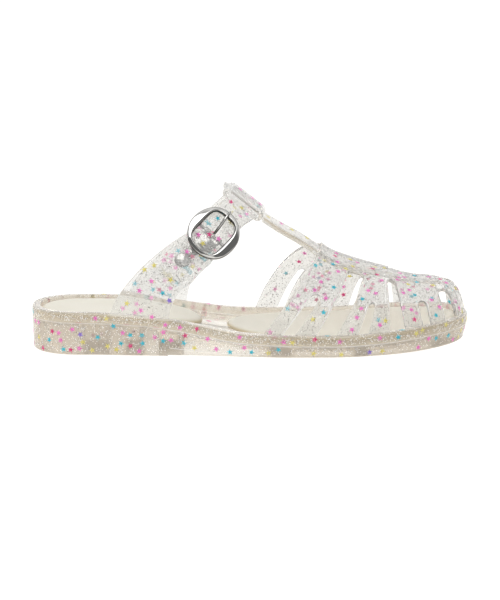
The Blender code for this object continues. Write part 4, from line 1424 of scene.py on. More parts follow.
    def keeper_lip(self) -> Shell:
        """Tab behind the keeper: a rounded section that thins and narrows along a curve out of its end.

        Returns:
            Closed shell.
        """
        centre = self.path.along(self.path.keeper_girth)
        share = np.linspace(0.0, 1.0, 12)
        shift = -(self.strap_width / 2.0 + self.lip_root) - self.lip_reach * share
        level = self.lip_level + self.lip_rise * share ** 2
        half = (self.keeper_length / 2.0 - self.lip_inset) * (1.0 - self.lip_narrow * share ** 2)
        tall = self.lip_tall - self.lip_thin * share ** self.lip_taper
        angle = full_turn(24)
        along = centre + half[:, None] * np.cos(angle)
        height = level[:, None] + tall[:, None] * np.sin(angle)
        return swept(self.path.point(along, shift[:, None], height))

    def band_share(self, points: Array) -> Array:
        """How much points belong to the base band's outer face, by their distance to the sole's outline.

        Args:
            points: Points of the upper.

        Returns:
            Shares from 0 to 1.
        """
        below = self.form.rim(points[:, 0]) - points[:, 2]
        low = below > -self.band_above
        outline = self.form.outline(np.linspace(0.0, 1.0, 261), 0.0)
        off = np.linalg.norm(points[low, None, :2] - outline[None], axis=2).min(axis=1)
        share = np.clip((below - self.band_top) / self.band_top_fade, 0.0, 1.0) * low
        share[low] *= np.clip((self.band_depth - off) / self.band_fade, 0.0, 1.0)
        return share

    def keeper_share(self, points: Array) -> Array:
        """1 for points in the box round the keeper, 0 elsewhere.

        Args:
            points: Points of the upper.

        Returns:
            Shares, 0 or 1.
        """
        along = np.array([self.path.along(self.path.keeper_girth)])
        across, out, _ = self.path.axes(along)
        axes = np.concatenate([np.cross(out, across), across, out])
        off = np.abs((points - self.path.middle(along)) @ axes.T)
        box = (self.keeper_length / 2.0 + self.keeper_margin, self.strap_width, self.keeper_tall)
        return np.all(off < box, axis=1).astype(float)

    def bar_shares(self, points: Array) -> tuple[Array, Array]:
        """How much points belong to the T-bar's strips, and to the upright sides of the spine.

        Args:
            points: Points of the upper.

        Returns:
            Share of the strips and share of the sides, 0 to 1.
        """
        x, y, z = points.T
        shares = []
        for table in (SPINE, SADDLE):
            roll = np.radians(table.at("roll", x))
            rise = z - RIDGE.at("height", x)
            off = y - RIDGE.at("side", x)
            side = np.abs(off * np.cos(roll) + rise * np.sin(roll) - table.at("shift", x))
            level = rise * np.cos(roll) - off * np.sin(roll) - table.at("lift", x) + self.vamp.wall / 2.0
            out = side - table.at("width", x) / 2.0
            inside = (x > table.place[0] - self.bar_end) & (x < table.place[-1] + self.bar_end)
            inside &= (out < self.bar_side) & (np.abs(level) < self.spine_wall / 2.0 + self.bar_level)
            edge = np.clip((out + self.bar_edge) / self.bar_edge_fade, 0.0, 1.0)
            shares.append((inside.astype(float), inside * edge))
        (spine, spine_edge), (saddle, _) = shares
        return np.maximum(spine, saddle), spine_edge

    def prong_hole(self) -> Shell:
        """Oval cutter for the hole that the prong passes through."""
        angle = full_turn(32)
        along = self.hole_place + self.hole_half * np.cos(angle)
        shift = self.hole_across * np.sin(angle)
        return swept(np.stack([self.path.point(along, shift, level) for level in self.hole_levels]))

    def build(self, finish: ClearPvc) -> Item:
        """Build and dress the upper.

        Args:
            finish: Its material.

        Returns:
            The piece that stands for the CAD upper.
        """
        mould = self.mould
        item = mould.piece("upper_moulding", self.band())
        strap = mould.piece("instep_strap", self.instep_strap())
        mould.carved(strap, [mould.piece("prong_hole", self.prong_hole())], Carving.CUT, self.crease)
        shells = {
            "vamp": self.vamp.shell(),
            "spine": self.strip(SPINE, 90),
            "saddle": self.strip(SADDLE, 50),
            "keeper": self.keeper(),
            "keeper_lip": self.keeper_lip(),
            "outer_strap": self.outer_strap(),
        }
        helpers = [mould.piece(name, shell) for name, shell in shells.items()]
        mould.carved(item, helpers + [strap], Carving.JOIN, self.crease)
        points = mould.vertices(item)
        bars, sides = self.bar_shares(points)
        finish.coat(item, np.maximum(self.band_share(points), self.bar_warmth * sides),
                    np.maximum(self.keeper_haze * self.keeper_share(points), self.bar_haze * bars))
        return settle(item, "upper")


@dataclass
class InsolePad:
    """Foam pad between two places, round at both ends, its top edge bevelled softly by pressing, with painted
    shade toward its lower edge.
    """

    form: SoleForm
    mould: Mould
    node: str
    slot: str
    start: float
    end: float
    rear_length: float
    front_length: float
    thickness: float = 2.5
    margin: float = 0.5
    end_round: float = 2.2
    bevel_run: float = 3.4
    bevel_fall: float = 1.7
    top_rings: tuple[float, ...] = (1.6, 2.6, 4.0)
    painted_shade_power: float = 1.5
    fill: float = 0.9
    crease: float = 50.0

    def outline(self, turns: Array, shrink: float) -> Array:
        """Closed outline drawn in by a shrink, never past the sole's own outline.

        Args:
            turns: Places from the rear end, 0, to the front, 1.
            shrink: How far it is drawn in.

        Returns:
            Points as x and y.
        """
        form = self.form
        edge = form.band_width + form.seat_gap + self.margin
        x = self.start + shrink + (self.end - self.start - 2 * shrink) * (1.0 - np.cos(np.pi * turns)) / 2.0
        rear = np.clip((self.start + self.rear_length - x) / (self.rear_length - shrink), 0.0, 1.0)
        front = np.clip((x - self.end + self.front_length) / (self.front_length - shrink), 0.0, 1.0)
        ends = np.sqrt((1.0 - rear ** self.end_round) * (1.0 - front ** self.end_round))
        room = form.half_width(x, edge + shrink, edge, edge)
        return both_sides(x, np.minimum(room, (SOLE_SIZES.at("half", x) - edge - shrink) * ends))

    def build(self, finish: CreamFoam) -> Item:
        """Build and dress the pad: outlines drawn in along a quarter ellipse up to the top.

        Args:
            finish: Its material.

        Returns:
            The piece that stands for the CAD pad.
        """
        turns = np.linspace(0.0, 1.0, 121)
        steps = [(0.0, 0.0)]
        for angle in np.linspace(0.0, np.pi / 2.0, 9):
            steps.append((self.bevel_run * (1.0 - math.cos(angle)),
                          self.thickness - self.bevel_fall * (1.0 - math.sin(angle))))
        steps += [(self.bevel_run * grow, self.thickness) for grow in self.top_rings]
        layers = []
        for shrink, rise in steps:
            flat = self.outline(turns, shrink)
            layers.append(np.column_stack([flat, self.form.footbed(flat[:, 0]) + self.form.seat_gap + rise]))
        item = self.mould.piece(self.node + "_foam", stacked(layers))
        self.mould.smooth(item, self.crease)
        # Painted shade: share 0 on the flat top, rising to 1 at the foot of the bevel and down the sides.
        x, _, z = self.mould.vertices(item).T
        fall = self.form.footbed(x) + self.form.seat_gap + self.thickness - z
        finish.coat(item, np.clip(fall / self.bevel_fall, 0.0, 1.0) ** self.painted_shade_power)
        return settle(item, self.node)


@dataclass
class Buckle:
    """Chromed buckle on the strap: round frame with its bar, prong, and clip with a domed stud."""

    path: StrapPath
    mould: Mould
    outer: float = 15.1
    outer_power: float = 2.1
    opening_along: float = 12.0
    opening_across: float = 9.2
    opening_power: float = 4.2
    floor: float = 6.25
    top: float = 8.4
    section: tuple[tuple[float, float], ...] = (
        (0.0, 0.0), (0.0, 0.42), (0.02, 0.56), (0.06, 0.66), (0.14, 0.74), (0.3, 0.82), (0.5, 0.91),
        (0.66, 0.98), (0.74, 1.0), (0.82, 0.97), (0.9, 0.84), (0.96, 0.62), (1.0, 0.3), (1.0, 0.0))
    bar_radius: float = 0.9
    bar_level: float = 1.3
    bar_post: float = 12.0
    bar_bend: float = 0.8
    bar_root: float = 0.9
    prong_radius: float = 0.85
    prong_root: float = 0.75
    prong_tip: tuple[float, float, float] = (0.8, 0.62, 0.3)
    prong_eye: float = 1.0
    clip_floor: float = 2.5
    clip_wall: float = 0.8
    clip_ease: float = 0.3
    clip_end: float = -2.6
    tab_root: float = -3.4
    stud_place: float = -23.0
    stud_radius: float = 4.5
    stud_dome: float = 1.5
    stud_arc: float = 0.97
    neck_start: float = 0.9
    stud_root: float = 0.56
    eye_shift: float = 4.4
    eye_half: float = 1.8
    eye_proud: float = 0.1
    eye_wall: float = 0.75
    eye_ease: float = 0.25
    eye_play: float = 0.3
    crease: float = 45.0

    def ring(self, half_along: float, half_across: float, power: float, angle: Array) -> tuple[Array, Array]:
        """Run and shift round a superellipse.

        Args:
            half_along: Half its length along the strap.
            half_across: Half its width across the strap.
            power: 2 for an ellipse, more for a squarer form.
            angle: Angles round it.

        Returns:
            Runs and shifts.
        """
        along = half_along * np.sign(np.cos(angle)) * np.abs(np.cos(angle)) ** (2.0 / power)
        across = half_across * np.sign(np.sin(angle)) * np.abs(np.sin(angle)) ** (2.0 / power)
        return along, across

    def frame_ring(self) -> Shell:
        """Section carried between the round rim and the squarer opening: sloped face and rolled edges.

        Returns:
            Closed shell.
        """
        angle = full_turn(144)
        rim = np.array(self.ring(self.outer, self.outer, self.outer_power, angle))
        opening = np.array(self.ring(self.opening_along, self.opening_across, self.opening_power, angle))
        tall = self.top - self.floor
        rails = []
        for share, rise in self.section:
            along, across = rim + (opening - rim) * share
            rails.append(self.path.point(along, across, self.floor + tall * rise))
        return swept(np.stack(rails, axis=1), closed=True)

    def wire(self, route: Sequence[Sequence[float]], radii: Sequence[float], count: int = 40) -> Shell:
        """Round wire through a smooth curve.

        Args:
            route: Points of the curve as run, shift and height.
            radii: Radius of the wire at each point.
            count: Number of sections.

        Returns:
            Closed shell.
        """
        rows = np.column_stack([np.linspace(0.0, 1.0, len(route)), route, radii])
        table = Table(("share", "along", "shift", "height", "radius"), rows)
        fine = np.linspace(0.0, 1.0, count)
        points = self.path.point(*(table.at(column, fine) for column in ("along", "shift", "height")))
        tangent = unit(np.gradient(points, axis=0))
        across, out, _ = self.path.axes(np.zeros(1))
        crosswise = np.ptp(table.values["shift"]) > TINY
        first = np.cross(out, across) if crosswise else across
        first = unit(first - tangent * np.sum(first * tangent, axis=1, keepdims=True))
        second = np.cross(tangent, first)
        angle = full_turn(16)[None, :, None]
        round_loop = np.cos(angle) * first[:, None] + np.sin(angle) * second[:, None]
        return swept(points[:, None] + table.at("radius", fine)[:, None, None] * round_loop)

    def eye(self, half: float, shift: float) -> Shell:
        """Rounded sleeve that hangs on the bar with play.

        Args:
            half: Half of its length.
            shift: Shift of its middle across the strap.

        Returns:
            Closed shell.
        """
        angle = full_turn(32)[:, None]
        sides, heights = rounded_section(np.array([half]), self.eye_wall, self.eye_ease)
        radius = self.bar_radius + self.eye_play + heights
        height = self.bar_level + radius * np.sin(angle)
        return swept(self.path.point(radius * np.cos(angle), shift + sides, height), closed=True)

    def plate(self, along: Array, half: Array, shift: float) -> Shell:
        """Thin plate with rolled edges along the strap.

        Args:
            along: Runs of its sections.
            half: Half width at each of them.
            shift: Shift of its middle line across the strap.

        Returns:
            Closed shell.
        """
        sides, heights = rounded_section(half, self.clip_wall, self.clip_ease)
        return swept(self.path.point(along[:, None], sides + shift, heights + self.clip_floor))

    def stud(self) -> Shell:
        """Domed head: rings whose height follows the cosine of a quarter turn.

        Returns:
            Closed shell.
        """
        angle = full_turn(48)
        arc = np.linspace(0.0, np.pi / 2.0 * self.stud_arc, 12)
        share = np.concatenate([[1.0], np.cos(arc)])[:, None]
        rise = np.concatenate([[0.0], self.stud_root + self.stud_dome * np.sin(arc)])[:, None]
        radius = self.stud_radius * share
        along = self.stud_place + radius * np.cos(angle)
        return swept(self.path.point(along, radius * np.sin(angle), self.clip_floor + rise))

    def bar(self) -> Shell:
        """Wire across the strap, bent up to the frame at both ends.

        Returns:
            Closed shell.
        """
        post = self.bar_post
        low = self.bar_level
        bend = self.bar_bend
        foot = self.floor + self.bar_root
        route = [(0.0, -post, foot), (0.0, -post, low + bend), (0.0, -post + bend, low), (0.0, 0.0, low),
                 (0.0, post - bend, low), (0.0, post, low + bend), (0.0, post, foot)]
        return self.wire(route, [self.bar_radius] * len(route), 60)

    def prong(self) -> Shell:
        """Wire from the bar through the strap's hole to a thin tip on the frame, with its eye on the bar."""
        route = [(0.9, 0.0, self.bar_level + 1.35), (2.4, 0.0, 3.6), (4.4, 0.0, 5.5), (7.0, 0.0, 7.4),
                 (10.0, 0.0, 9.2), (12.2, 0.0, 9.65), (14.2, 0.0, 9.6), (14.6, 0.0, 9.6)]
        radii = [self.prong_root] + [self.prong_radius] * 4 + [*self.prong_tip]
        return self.wire(route, radii).joined(self.eye(self.prong_eye, 0.0))

    def clip(self) -> Shell:
        """Plate that widens from the stud to two tabs, each with an eye on the bar.

        Returns:
            Plate, stud, tabs and eyes side by side in one shell.
        """
        neck = np.linspace(self.stud_place + self.neck_start * self.stud_radius, self.clip_end, 60)
        widths = Table(("along", "half"), ((self.stud_place, 2.7), (-14.5, 2.7), (-11.0, 3.4), (-8.6, 6.2),
                                           (-4.6, 6.6), (self.clip_end, 6.5)))
        made = self.plate(neck, widths.at("half", neck), 0.0).joined(self.stud())
        tab = np.linspace(self.tab_root, -self.bar_radius, 6)
        for shift in (-self.eye_shift, self.eye_shift):
            made = made.joined(self.plate(tab, np.full(len(tab), self.eye_half), shift))
            made = made.joined(self.eye(self.eye_half + self.eye_proud, shift))
        return made

    def build(self, finishes: dict[str, BrightChrome]) -> list[Item]:
        """Build and dress frame, prong and clip.

        Args:
            finishes: Chrome of each CAD node.

        Returns:
            The three pieces.
        """
        shells = {
            "buckle_frame": self.frame_ring().joined(self.bar()),
            "buckle_prong": self.prong(),
            "buckle_clip": self.clip(),
        }
        made = []
        _, out, _ = self.path.axes(np.zeros(1))
        for node, shell in shells.items():
            item = self.mould.piece(node + "_chrome", shell)
            self.mould.smooth(item, self.crease)
            finishes[node].coat(item, out[0])
            made.append(settle(item, node))
        return made


def settle(item: Item, node: str) -> Item:
    """Let a piece ride on the shoe in place of a CAD node.

    Args:
        item: The piece.
        node: CAD node that it stands for.

    Returns:
        The piece.
    """
    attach(item, BODY)
    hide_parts(node)
    return item


@dataclass
class Flakes:
    """Places of flakes in the moulding's skin: middle points with two directions in the flake's plane."""

    points: Array
    first: Array
    second: Array

    def taken(self, which: Array) -> "Flakes":
        """Chosen flakes."""
        return Flakes(self.points[which], self.first[which], self.second[which])


@dataclass(frozen=True)
class Cast:
    """How many flakes lie in each region of the mouldings, and how far they stay from an edge."""

    vamp: int
    outer_strap: int
    tail: int
    instep_strap: int
    keeper: int
    top_line: int
    band: int
    wall: int
    footbed: int
    margin: float


@dataclass(frozen=True)
class StrapRun:
    """Stretch of a strap between two runs: half width, shift across the arch and level of its underside."""

    low: float
    high: float
    half: Callable[[Array], Array]
    shift: Callable[[Array], Array]
    level: Callable[[Array], Array]


@dataclass
class Confetti:
    """Star confetti and glitter cast into the skin of the PVC."""

    form: SoleForm
    path: StrapPath
    upper: Upper
    mould: Mould
    star_radius: float = 2.0
    star_waist: float = 0.38
    star_clear: float = 0.3
    pearl_radius: float = 0.3
    smoke_radius: float = 0.26
    star_spacing: float = 4.3
    flake_wall: float = 0.05
    proud: float = 0.05
    slack: float = 0.3
    vamp_tries: int = 8
    vamp_step: float = 0.05
    vamp_depth: float = 0.5
    inner_settle: float = -0.35
    outer_settle: float = 0.2
    strap_depth: tuple[float, float] = (0.6, 1.4)
    outer_girth: float = 0.3
    inner_girth: float = 13.4
    keeper_reach: float = 5.5
    keeper_half: float = 11.0
    keeper_level: float = 2.65
    bar_run: tuple[float, float] = (140.0, 243.0)
    bar_half: float = 4.6
    bar_depth: float = 1.2
    rail_inset: float = 2.0
    rail_step: float = 0.5
    wall_inset: tuple[float, float] = (0.2, 1.8)
    wall_low: float = 0.6
    band_inset: tuple[float, float] = (0.2, 2.2)
    band_low: float = 5.6
    top_gap: float = 0.3
    bed_run: tuple[float, float] = (8.0, 252.0)
    bed_inset: float = 7.0
    bed_depth: tuple[float, float] = (0.7, 3.6)
    rng: np.random.Generator = field(default_factory=partial(np.random.default_rng, SEED))
    stars: Cast = Cast(vamp=320, outer_strap=72, tail=40, instep_strap=100, keeper=16, top_line=34,
                       band=300, wall=560, footbed=190, margin=1.9)
    smoke: Cast = Cast(vamp=3000, outer_strap=420, tail=200, instep_strap=620, keeper=60, top_line=120,
                       band=160, wall=400, footbed=300, margin=0.6)
    pearl: Cast = Cast(vamp=400, outer_strap=90, tail=50, instep_strap=130, keeper=30, top_line=60,
                       band=3000, wall=4200, footbed=500, margin=0.6)

    def skinned(self, points: Array, host: Item, radius: float) -> Flakes:
        """Lay flakes on the nearest skin of a moulding, turned at random; those that would stick out go.

        Args:
            points: Places in or near the moulding.
            host: The moulding.
            radius: Radius of the flakes.

        Returns:
            The flakes that lie flat.
        """
        tree = BVHTree.FromObject(host, bpy.context.evaluated_depsgraph_get())
        found = [tree.find_nearest(place) for place in self.mould.row(points).tolist()]
        place = np.array([hit[0] for hit in found]) / MM + self.mould.origin
        normal = np.array([hit[1] for hit in found])
        helper = np.where(np.abs(normal[:, 2:]) < 0.8, (0.0, 0.0, 1.0), (1.0, 0.0, 0.0))
        side = unit(np.cross(normal, helper))
        spin = self.rng.uniform(0.0, 2.0 * np.pi, (len(points), 1))
        first = side * np.cos(spin) + np.cross(normal, side) * np.sin(spin)
        second = np.cross(normal, first)
        flat = np.ones(len(points), bool)
        for angle in full_turn(5):
            tips = place + radius * (first * math.cos(angle) + second * math.sin(angle))
            off = np.array([tree.find_nearest(tip)[3] for tip in self.mould.row(tips).tolist()]) / MM
            flat &= off < self.slack * radius
        return Flakes(place + normal * self.proud, first, second).taken(flat)

    def in_vamp(self, count: int, margin: float) -> Array:
        """Places in the wall of the vamp, even over its area, most near the face turned to the outer side.

        Args:
            count: How many at most.
            margin: How far they stay from an edge.

        Returns:
            Points in shoe millimetres.
        """
        vamp = self.upper.vamp
        loop, on_seam = vamp.boundary()
        flat = self.rng.uniform(loop.min(axis=0), loop.max(axis=0), (count * self.vamp_tries, 2))
        flat = flat[vamp.clearance(flat, loop, on_seam) > margin]
        step = self.vamp_step
        ahead = vamp.surface(flat + (step, 0.0)) - vamp.surface(flat - (step, 0.0))
        over = vamp.surface(flat + (0.0, step)) - vamp.surface(flat - (0.0, step))
        normal = np.cross(ahead, over)
        area = np.linalg.norm(normal, axis=1)
        kept = np.flatnonzero(self.rng.uniform(0.0, area.max(), len(flat)) < area)[:count]
        settle_to = np.where(flat[kept, 1] > 0.0, self.inner_settle, self.outer_settle)
        depth = self.rng.uniform(-self.vamp_depth, self.vamp_depth, len(kept)) + settle_to
        return vamp.surface(flat[kept]) + normal[kept] * (depth / area[kept])[:, None]

    def in_strap(self, count: int, margin: float, strap: StrapRun) -> Array:
        """Places in a stretch of a strap.

        Args:
            count: How many.
            margin: How far they stay from its long edges.
            strap: The stretch.

        Returns:
            Points in shoe millimetres.
        """
        along = self.rng.uniform(strap.low, strap.high, count)
        side = self.rng.uniform(-1.0, 1.0, count) * (strap.half(along) - margin) + strap.shift(along)
        return self.path.point(along, side, strap.level(along) + self.rng.uniform(*self.strap_depth, count))

    def in_top_line(self, count: int) -> Array:
        """Places in the T-bar along the top line.

        Args:
            count: How many.

        Returns:
            Points in shoe millimetres.
        """
        x = self.rng.uniform(*self.bar_run, count)
        roll = np.radians(SPINE.at("roll", x))
        across = np.stack([np.zeros(count), np.cos(roll), np.sin(roll)], axis=1)
        height = RIDGE.at("height", x) + SPINE.at("lift", x) - self.bar_depth
        side = SPINE.at("shift", x) + self.rng.uniform(-self.bar_half, self.bar_half, count)
        return np.stack([x, RIDGE.at("side", x), height], axis=1) + across * side[:, None]

    def in_wall(self, count: int, inset: tuple[float, float], low: Callable[[Array], Array],
                high: Callable[[Array], Array]) -> Array:
        """Places in an upright wall round the shoe, even over its area.

        Args:
            count: How many are tried; low stretches keep fewer.
            inset: Least and greatest inset from the sole's outline.
            low: Lower end for a place along the foot.
            high: Upper end for a place along the foot.

        Returns:
            Points in shoe millimetres.
        """
        rail = self.form.outline(np.linspace(0.0, 1.0, 600), self.rail_inset)
        rail = np.concatenate([rail, rail[:1]])
        run = run_along(rail)
        place = self.rng.uniform(0.0, run[-1], count)
        xy, after = (np.stack([np.interp(place + step, run, column) for column in rail.T], axis=1)
                     for step in (0.0, self.rail_step))
        ahead = unit(after - xy)
        inwards = np.stack([-ahead[:, 1], ahead[:, 0]], axis=1)
        xy = xy + inwards * (self.rng.uniform(*inset, (count, 1)) - self.rail_inset)
        bottom = low(xy[:, 0])
        tall = high(xy[:, 0]) - bottom
        points = np.column_stack([xy, bottom + tall * self.rng.uniform(0.0, 1.0, count)])
        return points[self.rng.uniform(0.0, tall.max(), count) < tall]

    def in_footbed(self, count: int) -> Array:
        """Places in the floor of the footbed."""
        x = self.rng.uniform(*self.bed_run, count)
        half = self.form.half_width(x, self.bed_inset, self.bed_inset, self.bed_inset)
        y = SOLE_SIZES.at("middle", x) + half * self.rng.uniform(-1.0, 1.0, count)
        return np.stack([x, y, self.form.footbed(x) - self.rng.uniform(*self.bed_depth, count)], axis=1)

    def flakes(self, cast: Cast, radius: float, hosts: Sequence[Item]) -> Flakes:
        """Flakes in every region of the mouldings.

        Args:
            cast: How many in each region.
            radius: Radius of the flakes.
            hosts: The sole and the upper.

        Returns:
            All the flakes.
        """
        form = self.form
        path = self.path
        upper = self.upper
        margin = cast.margin
        sole = np.concatenate([
            self.in_wall(cast.wall, self.wall_inset,
                         lambda x: form.floor(x) + REBATE.at("height", x) + self.wall_low,
                         lambda x: form.ledge(x) - self.top_gap),
            self.in_footbed(cast.footbed),
        ])
        shift = partial(INSTEP_STRAP.at, "shift")
        level = partial(INSTEP_STRAP.at, "level")
        bar = -path.bar_reach
        keeper = path.along(path.keeper_girth)
        straps = (
            (cast.outer_strap, StrapRun(path.along(self.outer_girth), bar, upper.outer_half, np.zeros_like,
                                        np.zeros_like)),
            (cast.tail, StrapRun(INSTEP_STRAP.place[0] + margin, bar, upper.instep_half, shift, level)),
            (cast.instep_strap, StrapRun(bar, path.along(self.inner_girth), upper.instep_half, shift, level)),
            (cast.keeper, StrapRun(keeper - self.keeper_reach, keeper + self.keeper_reach,
                                   partial(np.full_like, fill_value=self.keeper_half), np.zeros_like,
                                   partial(np.full_like, fill_value=self.keeper_level))),
        )
        moulded = np.concatenate([
            self.in_vamp(cast.vamp, margin),
            *(self.in_strap(count, margin, strap) for count, strap in straps),
            self.in_top_line(cast.top_line),
            self.in_wall(cast.band, self.band_inset, lambda x: form.rim(x) - self.band_low,
                         lambda x: form.rim(x) - self.top_gap),
        ])
        laid = [self.skinned(points, host, radius) for points, host in zip((sole, moulded), hosts)]
        return Flakes(*(np.concatenate([getattr(one, part) for one in laid])
                        for part in ("points", "first", "second")))

    def prisms(self, flakes: Flakes, radii: Array) -> Shell:
        """Thin prisms whose outline has the given radii at even angles.

        Args:
            flakes: Places and planes.
            radii: Radius at each corner of the outline.

        Returns:
            All prisms as one shell.
        """
        count = len(radii)
        angle = full_turn(count)
        flat = (flakes.first[:, None] * (radii * np.cos(angle))[None, :, None]
                + flakes.second[:, None] * (radii * np.sin(angle))[None, :, None])
        normal = np.cross(flakes.first, flakes.second)[:, None] * self.flake_wall / 2.0
        middle = flakes.points[:, None]
        points = np.concatenate([middle + normal, middle + flat + normal,
                                 middle - normal, middle + flat - normal], axis=1)
        ring = np.arange(count)
        after = (ring + 1) % count
        low = count + 1
        top = np.stack([np.zeros(count, int), 1 + ring, 1 + after], axis=1)
        bottom = np.stack([np.full(count, low), low + 1 + after, low + 1 + ring], axis=1)
        side_a = np.stack([1 + ring, low + 1 + ring, low + 1 + after], axis=1)
        side_b = np.stack([1 + ring, low + 1 + after, 1 + after], axis=1)
        faces = np.concatenate([top, bottom, side_a, side_b])
        first = (np.arange(len(flakes.points)) * 2 * low)[:, None, None]
        every = (faces[None] + first).reshape(-1, 3)
        return Shell(points.reshape(-1, 3), [tuple(face) for face in every.tolist()]).outwards()

    def piece(self, name: str, flakes: Flakes, radii: Array, finish: FlakeFilm) -> Item:
        """One object of many flakes of one film."""
        item = self.mould.piece(name, self.prisms(flakes, radii))
        item.data.materials.append(finish.material())
        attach(item, BODY)
        return item

    def build(self, hosts: Sequence[Item]) -> list[Item]:
        """Cast the stars and the glitter.

        Args:
            hosts: The sole and the upper.

        Returns:
            One piece for each film.
        """
        star = np.tile([self.star_radius, self.star_radius * self.star_waist], 5)
        stars = self.flakes(self.stars, self.star_radius, hosts)
        apart = np.linalg.norm(stars.points[:, None] - stars.points[None], axis=2)
        crowded = np.any(np.tril(apart < self.star_spacing, -1), axis=1)
        stars = stars.taken(~crowded)
        order = self.rng.permutation(len(stars.points))
        shares = np.cumsum([film.value[3] for film in Film])
        bounds = np.concatenate([[0], np.round(shares * len(order))]).astype(int)
        made = []
        for film, low, high in zip(Film, bounds[:-1], bounds[1:]):
            word, colour, deep, _ = film.value
            finish = FlakeFilm(f"PET film, {word}", colour, deep, clear=self.star_clear)
            made.append(self.piece(f"confetti_{word}", stars.taken(order[low:high]), star, finish))
        smoke = FlakeFilm("PET film, smoke", "#4A443E", "#26221F", vary=1.0)
        pearl = FlakeFilm("PET film, pearl white", "#FFFFFF", "#F2F0EC", vary=1.0)
        for name, cast, radius, finish in (("glitter_smoke", self.smoke, self.smoke_radius, smoke),
                                           ("glitter_pearl", self.pearl, self.pearl_radius, pearl)):
            made.append(self.piece(name, self.flakes(cast, radius, hosts), np.full(4, radius), finish))
        return made


@dataclass(frozen=True)
class Lamp:
    """Square soft light aimed at the shoe, its place and edge in metres of the CAD frame."""

    name: str
    place: tuple[float, float, float]
    edge: float
    watts: float
    target: ClassVar[tuple[float, float, float]] = (0.0, 0.0, 0.03)

    def build(self) -> None:
        """Hang the light."""
        data = bpy.data.lights.new(self.name, "AREA")
        data.size = self.edge
        data.energy = self.watts
        item = new_object(self.name, data)
        item.location = self.place
        item.rotation_euler = (Vector(self.target) - Vector(self.place)).to_track_quat("-Z", "Y").to_euler()


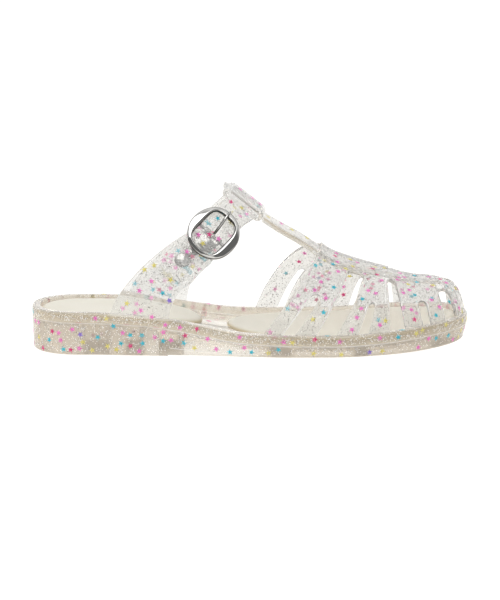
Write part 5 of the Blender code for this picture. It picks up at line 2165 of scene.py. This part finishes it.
@dataclass
class Studio:
    """Pale floor, soft light and the camera at the photograph's angle."""

    mould: Mould
    azimuth: float = 3.1
    elevation: float = 11.3
    distance: float = 2200.0
    aim: tuple[float, float, float] = (129.5, -2.6, 26.8)
    pixels_per_mm: float = 1.676
    frame_height: float = 600.0
    sensor: float = 36.0
    floor_colour: str = "#FBFAF8"
    floor_paint: str = "#8A8986"
    floor_glow: float = 0.93
    floor_rough: float = 0.9
    floor_reach: float = 6.0
    floor_drop: float = 0.1
    sweep: tuple[float, float] = (-0.6, 0.15)
    room_light: float = 0.16
    lamps: tuple[Lamp, ...] = (Lamp("key", (-0.24, -1.02, 1.33), 1.3, 13.0),
                               Lamp("fill", (-1.5, -0.5, 0.7), 0.7, 2.5))

    def camera(self) -> None:
        """Camera that looks along the photograph's direction, its lens set by the shoe's scale there."""
        az = math.radians(self.azimuth)
        el = math.radians(self.elevation)
        ahead = np.array([math.sin(az) * math.cos(el), math.cos(az) * math.cos(el), -math.sin(el)])
        data = bpy.data.cameras.new("camera")
        data.sensor_width = self.sensor
        data.lens = self.pixels_per_mm * self.distance * self.sensor / self.frame_height
        data.clip_end = 50.0
        item = new_object("camera", data)
        item.location = self.mould.row(np.array(self.aim) - ahead * self.distance)
        item.rotation_euler = Vector(ahead).to_track_quat("-Z", "Y").to_euler()
        bpy.context.scene.camera = item

    def floor(self) -> None:
        """Wide pale floor just under the shoe, lit from below like a light table."""
        mesh = bpy.data.meshes.new("floor")
        square = np.array([(-1.0, -1.0), (1.0, -1.0), (1.0, 1.0), (-1.0, 1.0)]) * self.floor_reach
        corners = np.column_stack([square, np.full(len(square), -self.floor_drop * MM)])
        mesh.from_pydata(corners, [], [(0, 1, 2, 3)])
        material, tree, shader = new_material("painted studio floor")
        set_inputs(tree, shader, {
            "Base Color": linear(self.floor_paint),
            "Roughness": self.floor_rough,
            "Specular IOR Level": 0.0,
            "Emission Color": linear(self.floor_colour),
            "Emission Strength": self.floor_glow,
        })
        mesh.materials.append(material)
        new_object("floor", mesh)

    def world(self) -> None:
        """White sweep behind the shoe that falls off to a dim room on the camera's side."""
        world = bpy.data.worlds.new("white sweep and dim room")
        world.use_nodes = True
        tree = world.node_tree
        way = add_node(tree, "ShaderNodeTexCoord").outputs["Generated"]
        depth = add_node(tree, "ShaderNodeSeparateXYZ", None, {"Vector": way}).outputs["Y"]
        white = add_node(tree, "ShaderNodeMapRange", {"interpolation_type": "SMOOTHSTEP"},
                         {"Value": depth, "From Min": self.sweep[0], "From Max": self.sweep[1],
                          "To Min": self.room_light, "To Max": 1.0})
        set_inputs(tree, tree.nodes["Background"],
                   {"Strength": white.outputs["Result"], "Color": linear("#FFFFFF")})
        bpy.context.scene.world = world

    def build(self) -> None:
        """Set the stage."""
        scene = bpy.context.scene
        self.camera()
        self.floor()
        self.world()
        for lamp in self.lamps:
            lamp.build()
        scene.view_settings.view_transform = "Standard"
        scene.cycles.transmission_bounces = 24
        scene.cycles.max_bounces = 32


def main() -> None:
    """Build every piece and report it."""
    logging.basicConfig(level=logging.INFO, format="%(name)s: %(message)s")
    form = SoleForm()
    mould = Mould(form.origin())
    path = StrapPath()
    upper = Upper(form, path, mould, Vamp(form))
    Studio(mould).build()
    sole_pvc = ClearPvc("moulded clear PVC, sole", tint="#F6F4F0", clear=0.85, absorb_per_metre=20.0,
                        thick_tint="#E8E1D6")
    upper_pvc = ClearPvc("moulded clear PVC, upper", tint="#EFEFEE", clear=0.82, absorb_per_metre=24.0)
    heel_pad = InsolePad(form, mould, "insole_heel_pad", "heel_foam", start=6.0, end=101.0, rear_length=26.0,
                         front_length=46.0)
    forefoot_pad = InsolePad(form, mould, "insole_forefoot_pad", "forefoot_foam", start=116.0, end=253.6,
                             rear_length=56.0, front_length=68.0)
    pieces = [
        Sole(form, mould).build(sole_pvc),
        upper.build(upper_pvc),
        heel_pad.build(CreamFoam("cream EVA foam, heel")),
        forefoot_pad.build(CreamFoam("cream EVA foam, forefoot")),
    ]
    chrome = {node: BrightChrome(f"chromed zinc, {node.replace('buckle_', '')}")
              for node in ("buckle_frame", "buckle_prong", "buckle_clip")}
    pieces += Buckle(path, mould).build(chrome)
    pieces += Confetti(form, path, upper, mould).build(pieces[:2])
    for item in pieces:
        LOG.info("%s: %d faces", item.name, len(item.data.polygons))


if __name__ == "__main__":
    main()
